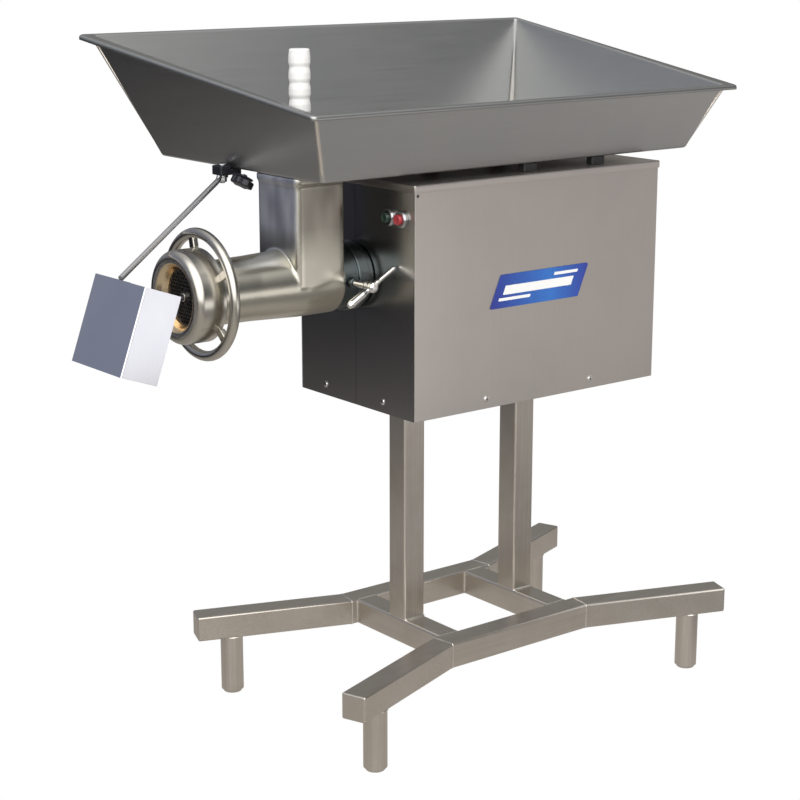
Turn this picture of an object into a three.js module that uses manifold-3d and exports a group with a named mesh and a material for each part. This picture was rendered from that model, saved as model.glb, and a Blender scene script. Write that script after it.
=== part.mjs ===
// Floor-standing meat grinder: a stainless cabinet on a tubular stand, with a geared motor inside, a
// grinding head in front, a feed pan on top and a swing-away guard before the outlet.
// Millimetres, +Z up. The front, where the meat comes out, faces -Y, and the operator's side is +X.
// While it is built, x = 0 is the head's axis, y = 0 the cabinet's front face and z = 0 the floor.
// At the end the whole machine is shifted so that its origin is under the middle of its outer box.

import * as THREE from 'three';
import { ConvexGeometry } from 'three/addons/geometries/ConvexGeometry.js';
import { mergeVertices } from 'three/addons/utils/BufferGeometryUtils.js';
import Module from 'manifold-3d';

const wasm = await Module();
wasm.setup();

// ---- driving dimensions -------------------------------------------------------------------------

const gap = 0.3;                  // between pieces that touch
const sheet = 2;                  // stainless sheet of the cabinet and the pan

const stand = {
  height: 554,                    // floor to the cabinet's underside
  tube: 45, wall: 3,              // square tube
  railTop: 152,
  railHalfSpan: 160.6,            // machine's centre plane to the rails' outer faces
  bendFront: 83, bendRear: 395,   // y of the outer bends
  endFront: -177, endRear: 657,   // y of the outer corners of the rails' ends
  flare: THREE.MathUtils.degToRad(20),
  postFront: 109, postRear: 363,  // y of the posts' centres
  footRadius: 20, footInset: 65,
};

const cabinet = { width: 316, depth: 545, height: 375, lidLip: 12, lidProud: 2.5 };

const axisZ = stand.height + 224.5; // height of the worm's axis

const pan = {
  z: 955,                         // underside of its floor
  floor: { x0: -336, x1: 138, y0: -165, y1: 636 },
  slope: 0.402,                   // outward run of a wall per millimetre of rise
  rimRight: 112, rimLeft: 205,    // rise of the rim over the floor, on the two long sides
  lip: 17, lipDrop: 8,
};

const head = {
  barrelRadius: 51.5, boreRadius: 42,
  mouthY: -328, mouthRadius: 58,
  neckFront: -157, neckRear: -60.3, neckHalfWidth: 57, neckWall: 11,
  shankRadius: 43.7, shankEnd: -8,
};

const gears = {
  output: { teeth: 46, module: 4, x: 0, z: axisZ, y0: 40, y1: 70 },
  pinion: { teeth: 16, module: 4, x: -62, y0: 40, y1: 70 },
  wheel: { teeth: 45, module: 3, y0: 74, y1: 94 },
  motor: { teeth: 15, module: 3, y0: 74, y1: 94, drop: 15.6 },
};

// ---- materials ----------------------------------------------------------------------------------

const finish = (color, roughness, metalness) =>
  new THREE.MeshStandardMaterial({ color, roughness, metalness });

const material = {
  brushed: finish(0xa8a49c, 0.4, 1),
  panel: finish(0xa69d96, 0.42, 1),
  cast: finish(0x9a978c, 0.25, 1),
  chrome: finish(0xc8c8c8, 0.15, 1),
  steel: finish(0x80807c, 0.45, 1),
  blackSteel: finish(0x1c1d20, 0.5, 0.8),
  iron: finish(0x4c5a66, 0.6, 0.3),
  motorPaint: finish(0x3a4650, 0.5, 0.2),
  blackPlastic: finish(0x151515, 0.5, 0),
  greenPlastic: finish(0x16241c, 0.4, 0),
  redPlastic: finish(0xb02a30, 0.35, 0),
  whitePlastic: finish(0xf2f2f0, 0.45, 0),
  bluePlate: finish(0x2a4f9e, 0.3, 0.2),
};

// ---- shape helpers ------------------------------------------------------------------------------

/** A closed three.js geometry as a solid that can be cut and joined. */
function solid(geometry) {
  const bare = geometry.clone();
  bare.deleteAttribute('normal');
  bare.deleteAttribute('uv');
  const merged = mergeVertices(bare, 1e-4);
  return new wasm.Manifold(new wasm.Mesh({
    numProp: 3,
    vertProperties: new Float32Array(merged.attributes.position.array),
    triVerts: new Uint32Array(merged.index.array),
  }));
}

/** A solid's triangles as a flat-shaded three.js geometry. */
function surface(body) {
  const mesh = body.getMesh();
  const indexed = new THREE.BufferGeometry();
  indexed.setAttribute('position', new THREE.BufferAttribute(new Float32Array(mesh.vertProperties), 3));
  indexed.setIndex(new THREE.BufferAttribute(new Uint32Array(mesh.triVerts), 1));
  const flat = indexed.toNonIndexed();
  flat.computeVertexNormals();
  return flat;
}

const join = (...geometries) => surface(geometries.map(solid).reduce((a, b) => a.add(b)));
const cut = (geometry, ...tools) =>
  surface(tools.map(solid).reduce((a, b) => a.subtract(b), solid(geometry)));

/** A box between two opposite corners. */
function block(x0, y0, z0, x1, y1, z1) {
  const geometry = new THREE.BoxGeometry(x1 - x0, y1 - y0, z1 - z0);
  return geometry.translate((x0 + x1) / 2, (y0 + y1) / 2, (z0 + z1) / 2);
}

/** A [radius, height] profile turned about Z, for any order of its points. */
function turnedZ(profile, segments = 24) {
  const points = profile.map(([r, h]) => new THREE.Vector2(r, h));
  const closes = points[0].equals(points[points.length - 1]);
  const outline = closes ? points.slice(0, -1) : points;
  if (THREE.ShapeUtils.area(outline) < 0) points.reverse();
  return new THREE.LatheGeometry(points, segments).rotateX(Math.PI / 2);
}

/** The same profile turned about Y, with its heights along +Y. */
const turnedY = (profile, segments) => turnedZ(profile, segments).rotateX(-Math.PI / 2);

/** The same profile turned about X, with its heights along +X. */
const turnedX = (profile, segments) => turnedZ(profile, segments).rotateY(Math.PI / 2);

const rodProfile = (radius, from, to) => [[0, from], [radius, from], [radius, to], [0, to]];
const ringProfile = (outer, inner, from, to) =>
  [[inner, from], [outer, from], [outer, to], [inner, to], [inner, from]];

/** A shape drawn in X and Z, extruded from one y to another. */
function prismY(shape, y0, y1, curveSegments = 6) {
  const geometry = new THREE.ExtrudeGeometry(shape, { depth: y1 - y0, bevelEnabled: false, curveSegments });
  return geometry.rotateX(Math.PI / 2).translate(0, y1, 0);
}

/** A shape drawn in X and Y, extruded from one height to another. */
function prismZ(shape, z0, z1, curveSegments = 6) {
  const geometry = new THREE.ExtrudeGeometry(shape, { depth: z1 - z0, bevelEnabled: false, curveSegments });
  return geometry.translate(0, 0, z0);
}

const polygon = (points) => new THREE.Shape(points.map(([x, y]) => new THREE.Vector2(x, y)));

function roundedRectangle(width, height, radius) {
  const shape = new THREE.Shape();
  const x = width / 2 - radius;
  const y = height / 2 - radius;
  shape.absarc(x, y, radius, 0, Math.PI / 2);
  shape.absarc(-x, y, radius, Math.PI / 2, Math.PI);
  shape.absarc(-x, -y, radius, Math.PI, 1.5 * Math.PI);
  shape.absarc(x, -y, radius, 1.5 * Math.PI, 2 * Math.PI);
  return shape;
}

/** The outline around a set of circles, as the belt around pulleys. */
function beltOutline(circles, steps = 20) {
  const points = circles.flatMap(({ x, z, r }) => Array.from({ length: steps }, (_, i) => {
    const angle = 2 * Math.PI * i / steps;
    return [x + r * Math.cos(angle), z + r * Math.sin(angle)];
  }));
  points.sort((a, b) => a[0] - b[0] || a[1] - b[1]);
  const turn = (o, a, b) => (a[0] - o[0]) * (b[1] - o[1]) - (a[1] - o[1]) * (b[0] - o[0]);
  const chain = (list) => list.reduce((hull, point) => {
    while (hull.length > 1 && turn(hull.at(-2), hull.at(-1), point) <= 1e-6) hull.pop();
    hull.push(point);
    return hull;
  }, []).slice(0, -1);
  return polygon([...chain(points), ...chain(points.reverse())]);
}

/** A spur gear's outline about its own centre, with one tooth's middle at the angle phase. */
function gearShape({ teeth, module }, phase, boreRadius) {
  const pitchRadius = teeth * module / 2;
  const corners = [
    { radius: pitchRadius - 1.15 * module, share: -0.33 },
    { radius: pitchRadius + 0.85 * module, share: -0.12 },
    { radius: pitchRadius + 0.85 * module, share: 0.12 },
    { radius: pitchRadius - 1.15 * module, share: 0.33 },
  ];
  const points = [];
  for (let tooth = 0; tooth < teeth; tooth++) {
    for (const { radius, share } of corners) {
      const angle = phase + 2 * Math.PI * (tooth + share) / teeth;
      points.push([radius * Math.cos(angle), radius * Math.sin(angle)]);
    }
  }
  const shape = polygon(points);
  if (boreRadius) shape.holes.push(new THREE.Path().absarc(0, 0, boreRadius, 0, 2 * Math.PI));
  return shape;
}

/** The phase that puts gear b in mesh with gear a, which has a tooth at phaseA. */
function meshPhase(a, b, phaseA) {
  const direction = Math.atan2(b.z - a.z, b.x - a.x);
  return direction + Math.PI - (phaseA - direction) * a.teeth / b.teeth - Math.PI / b.teeth;
}

// ---- the assembly -------------------------------------------------------------------------------

const machine = new THREE.Group();
const groupAt = (x, y, z) => {
  const group = new THREE.Group();
  group.position.set(x, y, z);
  machine.add(group);
  return group;
};

function add(name, geometry, finishName, { group = machine, at = [0, 0, 0], turn = [0, 0, 0] } = {}) {
  const mesh = new THREE.Mesh(geometry, material[finishName]);
  mesh.name = name;
  mesh.position.set(...at);
  mesh.rotation.set(...turn);
  group.add(mesh);
  return mesh;
}

// ---- stand: two bent rails, two cross tubes, two posts and four feet ----------------------------

const railBottom = stand.railTop - stand.tube;

/** The plan of the rail on the given side, +1 or -1, with its faces pulled in by inset. */
function railPlan(side, inset) {
  const slant = Math.tan(stand.flare);
  const outer = stand.railHalfSpan - inset;
  const inner = stand.railHalfSpan - stand.tube + inset;
  const outerShift = inset * Math.tan(stand.flare / 2);
  const innerShift = stand.tube * Math.tan(stand.flare / 2) - outerShift;
  // Unit vectors along and across a flared arm, and the two corners of its square-cut end.
  const end = (bend, y, sign) => {
    const along = new THREE.Vector2(Math.sin(stand.flare), sign * Math.cos(stand.flare));
    const across = new THREE.Vector2(-Math.cos(stand.flare), sign * Math.sin(stand.flare));
    const tip = new THREE.Vector2(stand.railHalfSpan + Math.abs(y - bend) * slant, y);
    const back = tip.addScaledVector(along, -inset);
    const corner = (depth) => back.clone().addScaledVector(across, depth).toArray();
    return [corner(stand.tube - inset), corner(inset)];
  };
  const [rearInner, rearOuter] = end(stand.bendRear, stand.endRear, 1);
  const [frontInner, frontOuter] = end(stand.bendFront, stand.endFront, -1);
  return polygon([
    frontOuter, [outer, stand.bendFront - outerShift], [outer, stand.bendRear + outerShift], rearOuter,
    rearInner, [inner, stand.bendRear + innerShift], [inner, stand.bendFront - innerShift], frontInner,
  ].map(([x, y]) => [side * x, y]));
}

/** Where a foot stands, for the rail end at end and the bend before it. */
function footPlace(bend, end) {
  const sign = Math.sign(end - bend);
  const back = stand.footInset;
  const endX = stand.railHalfSpan + Math.abs(end - bend) * Math.tan(stand.flare);
  const half = stand.tube / 2;
  return {
    x: endX - back * Math.sin(stand.flare) - half * Math.cos(stand.flare),
    y: end - sign * back * Math.cos(stand.flare) + sign * half * Math.sin(stand.flare),
  };
}

const feet = {
  front: footPlace(stand.bendFront, stand.endFront),
  rear: footPlace(stand.bendRear, stand.endRear),
};

function buildStand() {
  const half = stand.tube / 2;
  const inside = half - stand.wall;
  const footBore = stand.footRadius - 4;

  // A hollow rail with closed ends; the holes over its feet let the welding gas out.
  const drain = ({ x, y }, side) =>
    turnedZ(rodProfile(footBore, railBottom - 1, railBottom + stand.wall + 1), 12).translate(side * x, y, 0);
  for (const [name, side] of [['rail_right', 1], ['rail_left', -1]]) {
    add(name, cut(
      prismZ(railPlan(side, 0), railBottom, stand.railTop),
      prismZ(railPlan(side, stand.wall), railBottom + stand.wall, stand.railTop - stand.wall),
      drain(feet.front, side), drain(feet.rear, side),
    ), 'brushed');
  }

  const reach = stand.railHalfSpan - stand.tube - gap;
  const crossTube = cut(
    block(-reach, -half, railBottom, reach, half, stand.railTop),
    block(-reach - 1, -inside, railBottom + stand.wall, reach + 1, inside, stand.railTop - stand.wall),
  );
  const post = cut(
    block(-half, -half, stand.railTop + gap, half, half, stand.height - gap),
    block(-inside, -inside, stand.railTop, inside, inside, stand.height),
  );
  for (const [place, y] of [['front', stand.postFront], ['rear', stand.postRear]]) {
    add(`cross_tube_${place}`, crossTube, 'brushed', { at: [0, y, 0] });
    add(`post_${place}`, post, 'brushed', { at: [0, y, 0] });
  }

  // Each foot is a thick round tube, closed below by a thinner levelling plug.
  const r = stand.footRadius;
  const foot = turnedZ([
    [0, 0], [r - 4, 0], [r - 3, 4], [r, 5], [r, railBottom - gap],
    [footBore, railBottom - gap], [footBore, 24], [0, 24],
  ], 16);
  for (const [place, { x, y }] of Object.entries(feet)) {
    add(`foot_${place}_right`, foot, 'brushed', { at: [x, y, 0] });
    add(`foot_${place}_left`, foot, 'brushed', { at: [-x, y, 0] });
  }
}

// ---- cabinet ------------------------------------------------------------------------------------

const half = cabinet.width / 2;
const floorZ = stand.height;
const lidZ = floorZ + cabinet.height;
const trayFloor = floorZ + 5;
const buttons = { stop: { x: 127 }, start: { x: 95 } };
const buttonZ = floorZ + 330;
const collarNeck = 52;

function buildCabinet() {
  const inner = half - sheet - gap;
  const back = cabinet.depth - sheet - gap;
  const front = sheet + gap;
  const tray = { wall: 3, top: floorZ + 32 };
  add('base_tray', cut(
    block(-inner, front, floorZ, inner, back, tray.top),
    block(
      -inner + tray.wall, front + tray.wall, trayFloor, inner - tray.wall, back - tray.wall, tray.top + 1,
    ),
  ), 'steel');

  // The front is two plates that meet behind the head, each with half of the round head opening.
  const panelTop = lidZ + cabinet.lidLip - sheet - gap;
  const seam = 0.4;
  const headOpening = turnedY(rodProfile(collarNeck + 3, -1, sheet + 1)).translate(0, 0, axisZ);
  const buttonHole = ({ x }) => turnedY(rodProfile(11.4, -1, sheet + 1), 16).translate(x, 0, buttonZ);
  const frontPlate = (x0, x1) => block(x0, 0, floorZ, x1, sheet, panelTop);
  add('front_panel_right', cut(
    frontPlate(seam, half - sheet - gap), headOpening, buttonHole(buttons.stop), buttonHole(buttons.start),
  ), 'panel');
  add('front_panel_left', cut(frontPlate(-half + sheet + gap, -seam), headOpening), 'panel');

  const side = block(0, 0, floorZ, sheet, cabinet.depth, panelTop);
  add('side_panel_right', side, 'panel', { at: [half - sheet, 0, 0] });
  add('side_panel_left', side, 'panel', { at: [-half, 0, 0] });

  // Louvre slots at the back let the fan breathe.
  const slots = [];
  const slot = { count: 6, first: floorZ + 60, pitch: 16, height: 7, halfWidth: 75 };
  for (let i = 0; i < slot.count; i++) {
    const z = slot.first + i * slot.pitch;
    slots.push(block(
      -slot.halfWidth, cabinet.depth - sheet - 1, z, slot.halfWidth, cabinet.depth + 1, z + slot.height,
    ));
  }
  const gland = { x: 110, z: floorZ + 45, hole: 9.4 };
  const glandHole = turnedY(rodProfile(gland.hole, -sheet - 1, 1), 16)
    .translate(gland.x, cabinet.depth, gland.z);
  const rearPlate = block(
    -half + sheet + gap, cabinet.depth - sheet, floorZ, half - sheet - gap, cabinet.depth, panelTop,
  );
  add('rear_panel', cut(rearPlate, ...slots, glandHole), 'panel');
  add('cable_gland', turnedY([
    [5, -14], [13, -14], [13, -sheet - gap], [9, -sheet - gap], [9, gap], [13, gap],
    [13, 8], [10, 20], [5, 20], [5, -14],
  ], 16), 'blackPlastic', { at: [gland.x, cabinet.depth, gland.z] });

  const proud = cabinet.lidProud;
  add('lid', cut(
    block(-half - proud, -proud, lidZ, half + proud, cabinet.depth + proud, lidZ + cabinet.lidLip),
    block(-half - gap, -gap, lidZ - 1, half + gap, cabinet.depth + gap, lidZ + cabinet.lidLip - sheet),
  ), 'panel');

  // A plain leaning plate on the operator's side.
  const badge = prismY(polygon([[158, 168], [357, 168], [381, 224], [182, 224]]), 0, 1.2)
    .rotateZ(Math.PI / 2);
  add('badge', badge, 'bluePlate', { at: [half + gap + 1.2, 0, floorZ] });

  const spacer = { x: 128.5, halfX: 8, halfY: 15, y: [265, 421] };
  for (const [place, y] of [['front', spacer.y[0]], ['rear', spacer.y[1]]]) {
    const shape = block(
      -spacer.halfX, -spacer.halfY, lidZ + cabinet.lidLip + gap, spacer.halfX, spacer.halfY, pan.z - gap,
    );
    add(`pan_spacer_${place}_right`, shape, 'blackPlastic', { at: [spacer.x, y, 0] });
    add(`pan_spacer_${place}_left`, shape, 'blackPlastic', { at: [-spacer.x, y, 0] });
  }
}

function buildControls() {
  const bezel = turnedY([
    [8.7, -8], [12.5, -8], [14.5, -5], [14.5, -gap], [11, -gap], [11, 10], [8.7, 10], [8.7, -8],
  ], 16);
  const cap = turnedY([[0, -14], [6.5, -14], [8.3, -12.5], [8.3, 9], [0, 9]], 16);
  for (const [name, { x }] of Object.entries(buttons)) {
    const group = groupAt(x, 0, buttonZ);
    add(`${name}_bezel`, bezel, 'chrome', { group });
    add(`${name}_cap`, cap, name === 'stop' ? 'redPlastic' : 'greenPlastic', { group });
  }
  // The contact block hangs behind both buttons, with two plungers that the caps push.
  const plunger = ({ x }) => turnedY(rodProfile(3, 13.5, 20), 8).translate(x, 0, buttonZ);
  add('switch_block', join(
    block(buttons.start.x - 14, 18, buttonZ - 16, buttons.stop.x + 14, 52, buttonZ + 16),
    plunger(buttons.start), plunger(buttons.stop),
  ), 'blackPlastic');
  // The motor starter is screwed to the left side.
  add('motor_starter', join(
    block(-half + sheet + gap, 330, floorZ + 210, -half + 12, 450, floorZ + 330),
    block(-half + 12, 345, floorZ + 225, -half + 82, 435, floorZ + 315),
  ), 'blackPlastic');
}

// ---- geared motor -------------------------------------------------------------------------------

const caseFront = 8;
const caseRear = 100;
const coverRear = 116;

gears.pinion.z = axisZ - Math.sqrt(
  ((gears.output.teeth + gears.pinion.teeth) * gears.output.module / 2) ** 2 - gears.pinion.x ** 2,
);
gears.wheel.x = gears.pinion.x;
gears.wheel.z = gears.pinion.z;
gears.motor.z = gears.wheel.z - gears.motor.drop;
gears.motor.x = gears.wheel.x + Math.sqrt(
  ((gears.wheel.teeth + gears.motor.teeth) * gears.motor.module / 2) ** 2 - gears.motor.drop ** 2,
);

const bearing = {
  output: { inner: 26, outer: 44 },
  intermediate: { inner: 14, outer: 26 },
};

function buildGearbox() {
  const { output, pinion, wheel, motor } = gears;
  const circles = (extra) => [
    { x: output.x, z: output.z, r: 100 + extra },
    { x: wheel.x, z: wheel.z, r: 75 + extra },
    { x: motor.x, z: motor.z, r: 30 + extra },
  ];
  const at = (geometry, { x, z }) => geometry.translate(x, 0, z);
  const wallFront = caseFront + 10;
  const seatDepth = 16;
  const boss = (seat, place) => at(
    turnedY(ringProfile(seat.outer + 8, seat.outer + gap, wallFront - 1, wallFront + seatDepth)), place,
  );
  const casing = prismY(beltOutline(circles(8)), caseFront, caseRear);
  const hollow = prismY(beltOutline(circles(0)), wallFront, caseRear + 1);
  const foot = block(-120, caseFront + 6, trayFloor + gap, 70, caseRear, wheel.z - 70);
  add('gearbox_case', cut(
    join(cut(join(casing, foot), hollow), boss(bearing.output, output), boss(bearing.intermediate, pinion)),
    at(turnedY(rodProfile(bearing.output.inner + 1, caseFront - 1, wallFront + 1)), output),
  ), 'iron');

  const pocket = (seat, place) =>
    at(turnedY(rodProfile(seat.outer + gap, caseRear, coverRear - 4)), place);
  add('gearbox_cover', cut(
    prismY(beltOutline(circles(8)), caseRear + gap, coverRear),
    pocket(bearing.output, output), pocket(bearing.intermediate, pinion),
    at(turnedY(rodProfile(26.5, caseRear, coverRear + 1)), motor),
  ), 'iron');

  for (const [name, seat, place] of [
    ['output', bearing.output, output], ['intermediate', bearing.intermediate, pinion],
  ]) {
    const ring = (y0, y1) => turnedY(ringProfile(seat.outer, seat.inner + gap, y0, y1));
    const middle = [place.x, 0, place.z];
    add(`${name}_bearing_front`, ring(wallFront + gap, wallFront + seatDepth - 1), 'chrome', { at: middle });
    add(`${name}_bearing_rear`, ring(caseRear - 3, coverRear - 4 - gap), 'chrome', { at: middle });
  }

  // The big gear on the output shaft, whose square socket drives the worm.
  const outputPhase = 0;
  const pinionPhase = meshPhase(output, pinion, outputPhase);
  const shaftEnd = coverRear - 5;
  add('output_gear',
    prismY(gearShape(output, outputPhase, bearing.output.inner + gap), output.y0, output.y1, 12),
    'steel', { at: [output.x, 0, output.z] });
  add('output_shaft', cut(
    turnedY(rodProfile(bearing.output.inner, -5.5, shaftEnd)),
    block(-12.4, -7, -12.4, 12.4, 18, 12.4),
  ), 'steel', { at: [output.x, 0, output.z] });

  add('intermediate_shaft', join(
    turnedY(rodProfile(bearing.intermediate.inner, wallFront + 2, shaftEnd)),
    prismY(gearShape(pinion, pinionPhase), pinion.y0, pinion.y1),
  ), 'steel', { at: [pinion.x, 0, pinion.z] });
  const wheelPhase = 0;
  add('intermediate_gear',
    prismY(gearShape(wheel, wheelPhase, bearing.intermediate.inner + gap), wheel.y0, wheel.y1, 10),
    'steel', { at: [wheel.x, 0, wheel.z] });
  return meshPhase(wheel, motor, wheelPhase);
}

function buildMotor(pinionPhase) {
  const { motor } = gears;
  const group = groupAt(motor.x, 0, motor.z);
  const faceY = coverRear + gap;
  const bodyRear = 350;
  const shell = { radius: 86, bore: 47, shaft: 13 };
  const rearWall = bodyRear - 12;

  // Stator and end bells, bored through for the shaft, with the terminal box on top.
  add('motor_shell', join(
    turnedY([
      [shell.shaft + 1, faceY], [82, faceY], [82, faceY + 14], [shell.radius, faceY + 22],
      [shell.radius, bodyRear], [shell.shaft + 1, bodyRear], [shell.shaft + 1, rearWall],
      [shell.bore, rearWall], [shell.bore, faceY + 14], [shell.shaft + 1, faceY + 14],
      [shell.shaft + 1, faceY],
    ]),
    block(-35, 190, shell.radius - 8, 35, 280, shell.radius + 42),
  ), 'motorPaint', { group });

  // The rotor, its shaft and the hobbed pinion at the shaft's front end.
  const r = shell.shaft;
  add('motor_rotor', join(
    turnedY([
      [0, motor.y0], [r, motor.y0], [r, faceY + 24], [shell.bore - 1, faceY + 24],
      [shell.bore - 1, rearWall - 10], [r, rearWall - 10], [r, bodyRear + 40], [0, bodyRear + 40],
    ], 20),
    prismY(gearShape(motor, pinionPhase), motor.y0, motor.y1),
  ), 'steel', { group });

  // Cooling fan: a hub with flat paddles.
  const paddles = [];
  const fan = { blades: 7, hub: 22, radius: 70, from: bodyRear + 8, to: bodyRear + 32 };
  for (let i = 0; i < fan.blades; i++) {
    const paddle = block(fan.hub - 2, fan.from, -1.5, fan.radius, fan.to, 1.5);
    paddles.push(paddle.rotateY(2 * Math.PI * i / fan.blades));
  }
  add('motor_fan', join(
    turnedY(ringProfile(fan.hub, r + gap, fan.from, fan.to), 20), ...paddles,
  ), 'blackPlastic', { group });

  // Pressed cover over the fan, open towards the motor and with an inlet hole at the back.
  const cover = { radius: shell.radius - 2, wall: 1.5, rear: bodyRear + 52, inlet: 40 };
  add('motor_fan_cover', turnedY([
    [cover.radius, bodyRear + gap], [cover.radius, cover.rear - 8], [cover.radius - 8, cover.rear],
    [cover.inlet, cover.rear], [cover.inlet, cover.rear - cover.wall],
    [cover.radius - 8.6, cover.rear - cover.wall], [cover.radius - cover.wall, cover.rear - 8.6],
    [cover.radius - cover.wall, bodyRear + gap], [cover.radius, bodyRear + gap],
  ]), 'motorPaint', { group });

  // Saddle between the cabinet's tray and the motor.
  const saddleTop = -shell.radius * 0.72;
  add('motor_saddle', cut(
    block(-70, 180, trayFloor + gap - motor.z, 70, 290, saddleTop),
    turnedY(rodProfile(shell.radius + gap, 170, 300)),
  ), 'steel', { group });
}

// ---- grinding head ------------------------------------------------------------------------------

const headGroup = groupAt(0, 0, axisZ);
const neck = {
  y: (head.neckFront + head.neckRear) / 2,
  depth: head.neckRear - head.neckFront,
  width: 2 * head.neckHalfWidth,
  top: pan.z - axisZ - gap,
};
const throat = { width: neck.width - 2 * head.neckWall, depth: neck.depth - 2 * head.neckWall, radius: 14 };
const clamp = { x: 110, y: -50, z: -1, radius: 6 };

function buildHead() {
  const group = headGroup;

  // The collar holds the head's shank and carries it on the gearbox through the front panel.
  const sleeve = turnedY([
    [44, head.neckRear + gap], [53.5, head.neckRear + gap], [53.5, -34], [55.5, -34], [57.5, -32],
    [57.5, -14], [55.5, -12], [collarNeck, -12], [collarNeck, 2.6], [72, 2.6], [72, caseFront - gap],
    [44, caseFront - gap], [44, head.neckRear + gap],
  ]);
  const clampBoss = turnedX(rodProfile(9, 47, 66), 16).translate(0, clamp.y, clamp.z);
  const clampBore = turnedX(rodProfile(clamp.radius + gap, 40, 90), 16).translate(0, clamp.y, clamp.z);
  const shankBore = turnedY(rodProfile(44, head.neckRear - 1, caseFront));
  add('adapter_collar', cut(join(sleeve, clampBoss), shankBore, clampBore), 'cast', { group });

  // Barrel, mouth, throat neck and shank are one casting.
  const body = turnedY([
    [0, head.mouthY], [head.mouthRadius, head.mouthY], [head.mouthRadius, -300], [head.barrelRadius, -296],
    [head.barrelRadius + 1, -220], [head.neckHalfWidth, -130], [head.neckHalfWidth, head.neckRear],
    [head.shankRadius, head.neckRear], [head.shankRadius, head.shankEnd], [0, head.shankEnd],
  ]);
  const corner = 10;
  const rim = { out: 3, height: 12 };
  const upright = prismZ(roundedRectangle(neck.width, neck.depth, corner), 0, neck.top)
    .translate(0, neck.y, 0);
  const flange = prismZ(
    roundedRectangle(neck.width + 2 * rim.out, neck.depth + 2 * rim.out, corner + rim.out),
    neck.top - rim.height, neck.top,
  ).translate(0, neck.y, 0);
  const throatHole = prismZ(roundedRectangle(throat.width, throat.depth, throat.radius), 0, neck.top + 1)
    .translate(0, neck.y, 0);
  const wormBore = turnedY(rodProfile(head.boreRadius, head.mouthY - 1, -80));
  const plateSeat = turnedY(rodProfile(50, head.mouthY - 1, -302));
  const bushBore = turnedY(rodProfile(20.5, -85, head.shankEnd + 1));
  add('head_housing', cut(
    join(body, upright, flange), throatHole, wormBore, plateSeat, bushBore,
  ), 'cast', { group });

  // Worm: one flight on a stout root, a square for the knife, a pin for the plate and a driving tang.
  const flight = { radius: 41, root: 19, from: -300, to: -84, turns: 3, steps: 24 };
  const section = new THREE.Shape();
  section.absarc(0, 0, flight.root, 0.45, 2 * Math.PI - 0.45);
  section.absarc(0, 0, flight.radius, -0.2, 0.2);
  section.closePath();
  const auger = new THREE.ExtrudeGeometry(section, {
    depth: flight.to - flight.from, bevelEnabled: false, curveSegments: 4, steps: flight.steps,
  });
  const places = auger.attributes.position;
  const point = new THREE.Vector3();
  const lengthwise = new THREE.Vector3(0, 0, 1);
  for (let i = 0; i < places.count; i++) {
    point.fromBufferAttribute(places, i);
    point.applyAxisAngle(lengthwise, 2 * Math.PI * flight.turns * point.z / (flight.to - flight.from));
    places.setXYZ(i, point.x, point.y, point.z);
  }
  auger.rotateX(Math.PI / 2).translate(0, flight.to, 0);
  add('worm', join(
    auger,
    turnedY(rodProfile(20, flight.to - 0.5, -7)),
    block(-12, -8, -12, 12, 14, 12),
    block(-11, -321, -11, 11, flight.from + 1, 11),
    turnedY(rodProfile(7, -337, -320), 12),
  ), 'cast', { group });

  // Four-armed knife with its edges on the plate.
  const knife = [];
  for (let arm = 0; arm < 4; arm++) {
    knife.push(block(-8, -321, 10, 6, -309, 45.5).rotateY(arm * Math.PI / 2));
  }
  add('knife', cut(
    join(turnedY(rodProfile(21, -321.5, -304), 16), ...knife),
    block(-11.4, -324, -11.4, 11.4, -303, 11.4),
  ), 'steel', { group });

  // Plate with rings of holes around the worm's pin.
  const plate = { radius: 49.2, front: -332, rear: -322.2, pin: 7.4, hole: 3.4 };
  const disc = new THREE.Shape().absarc(0, 0, plate.radius, 0, 2 * Math.PI);
  disc.holes.push(new THREE.Path().absarc(0, 0, plate.pin, 0, 2 * Math.PI));
  for (const [ring, count] of [[15, 6], [25.5, 10], [36, 15]]) {
    for (let i = 0; i < count; i++) {
      const angle = 2 * Math.PI * i / count;
      const corners = Array.from({ length: 4 }, (_, k) => new THREE.Vector2(
        ring * Math.cos(angle) + plate.hole * Math.cos(k * Math.PI / 2),
        ring * Math.sin(angle) + plate.hole * Math.sin(k * Math.PI / 2),
      ));
      disc.holes.push(new THREE.Path(corners));
    }
  }
  add('hole_plate', prismY(disc, plate.front, plate.rear, 14), 'blackSteel', { group });

  // Ring nut: a flared outlet, a round nose and a plain band.
  const nose = Array.from({ length: 5 }, (_, i) => {
    const angle = Math.PI / 2 * i / 4;
    return [61 + 13.5 * Math.sin(angle), -340.5 - 13.5 * Math.cos(angle)];
  });
  const lip = plate.front - gap;
  add('ring_nut', turnedY([
    [43.5, lip], [45, lip - 5], [50, -347], [55, -352.2], ...nose, [74.5, -304], [72, -301],
    [58.4, -301], [58.4, lip], [43.5, lip],
  ], 28), 'cast', { group });

  // Handwheel: a round ring on flat spokes behind the nut's band.
  const wheel = { radius: 97.2, tube: 8.3, y: -303, spokes: 5, spokeWidth: 14, spokeFrom: 74.9 };
  const firstSpoke = THREE.MathUtils.degToRad(-12);
  const spokes = Array.from({ length: wheel.spokes }, (_, i) => block(
    -wheel.spokeWidth / 2, wheel.y - 5, wheel.spokeFrom, wheel.spokeWidth / 2, wheel.y + 5, wheel.radius - 3,
  ).rotateY(firstSpoke + 2 * Math.PI * i / wheel.spokes));
  add('handwheel', join(
    new THREE.TorusGeometry(wheel.radius, wheel.tube, 8, 28).rotateX(Math.PI / 2).translate(0, wheel.y, 0),
    ...spokes,
  ), 'cast', { group });

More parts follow.
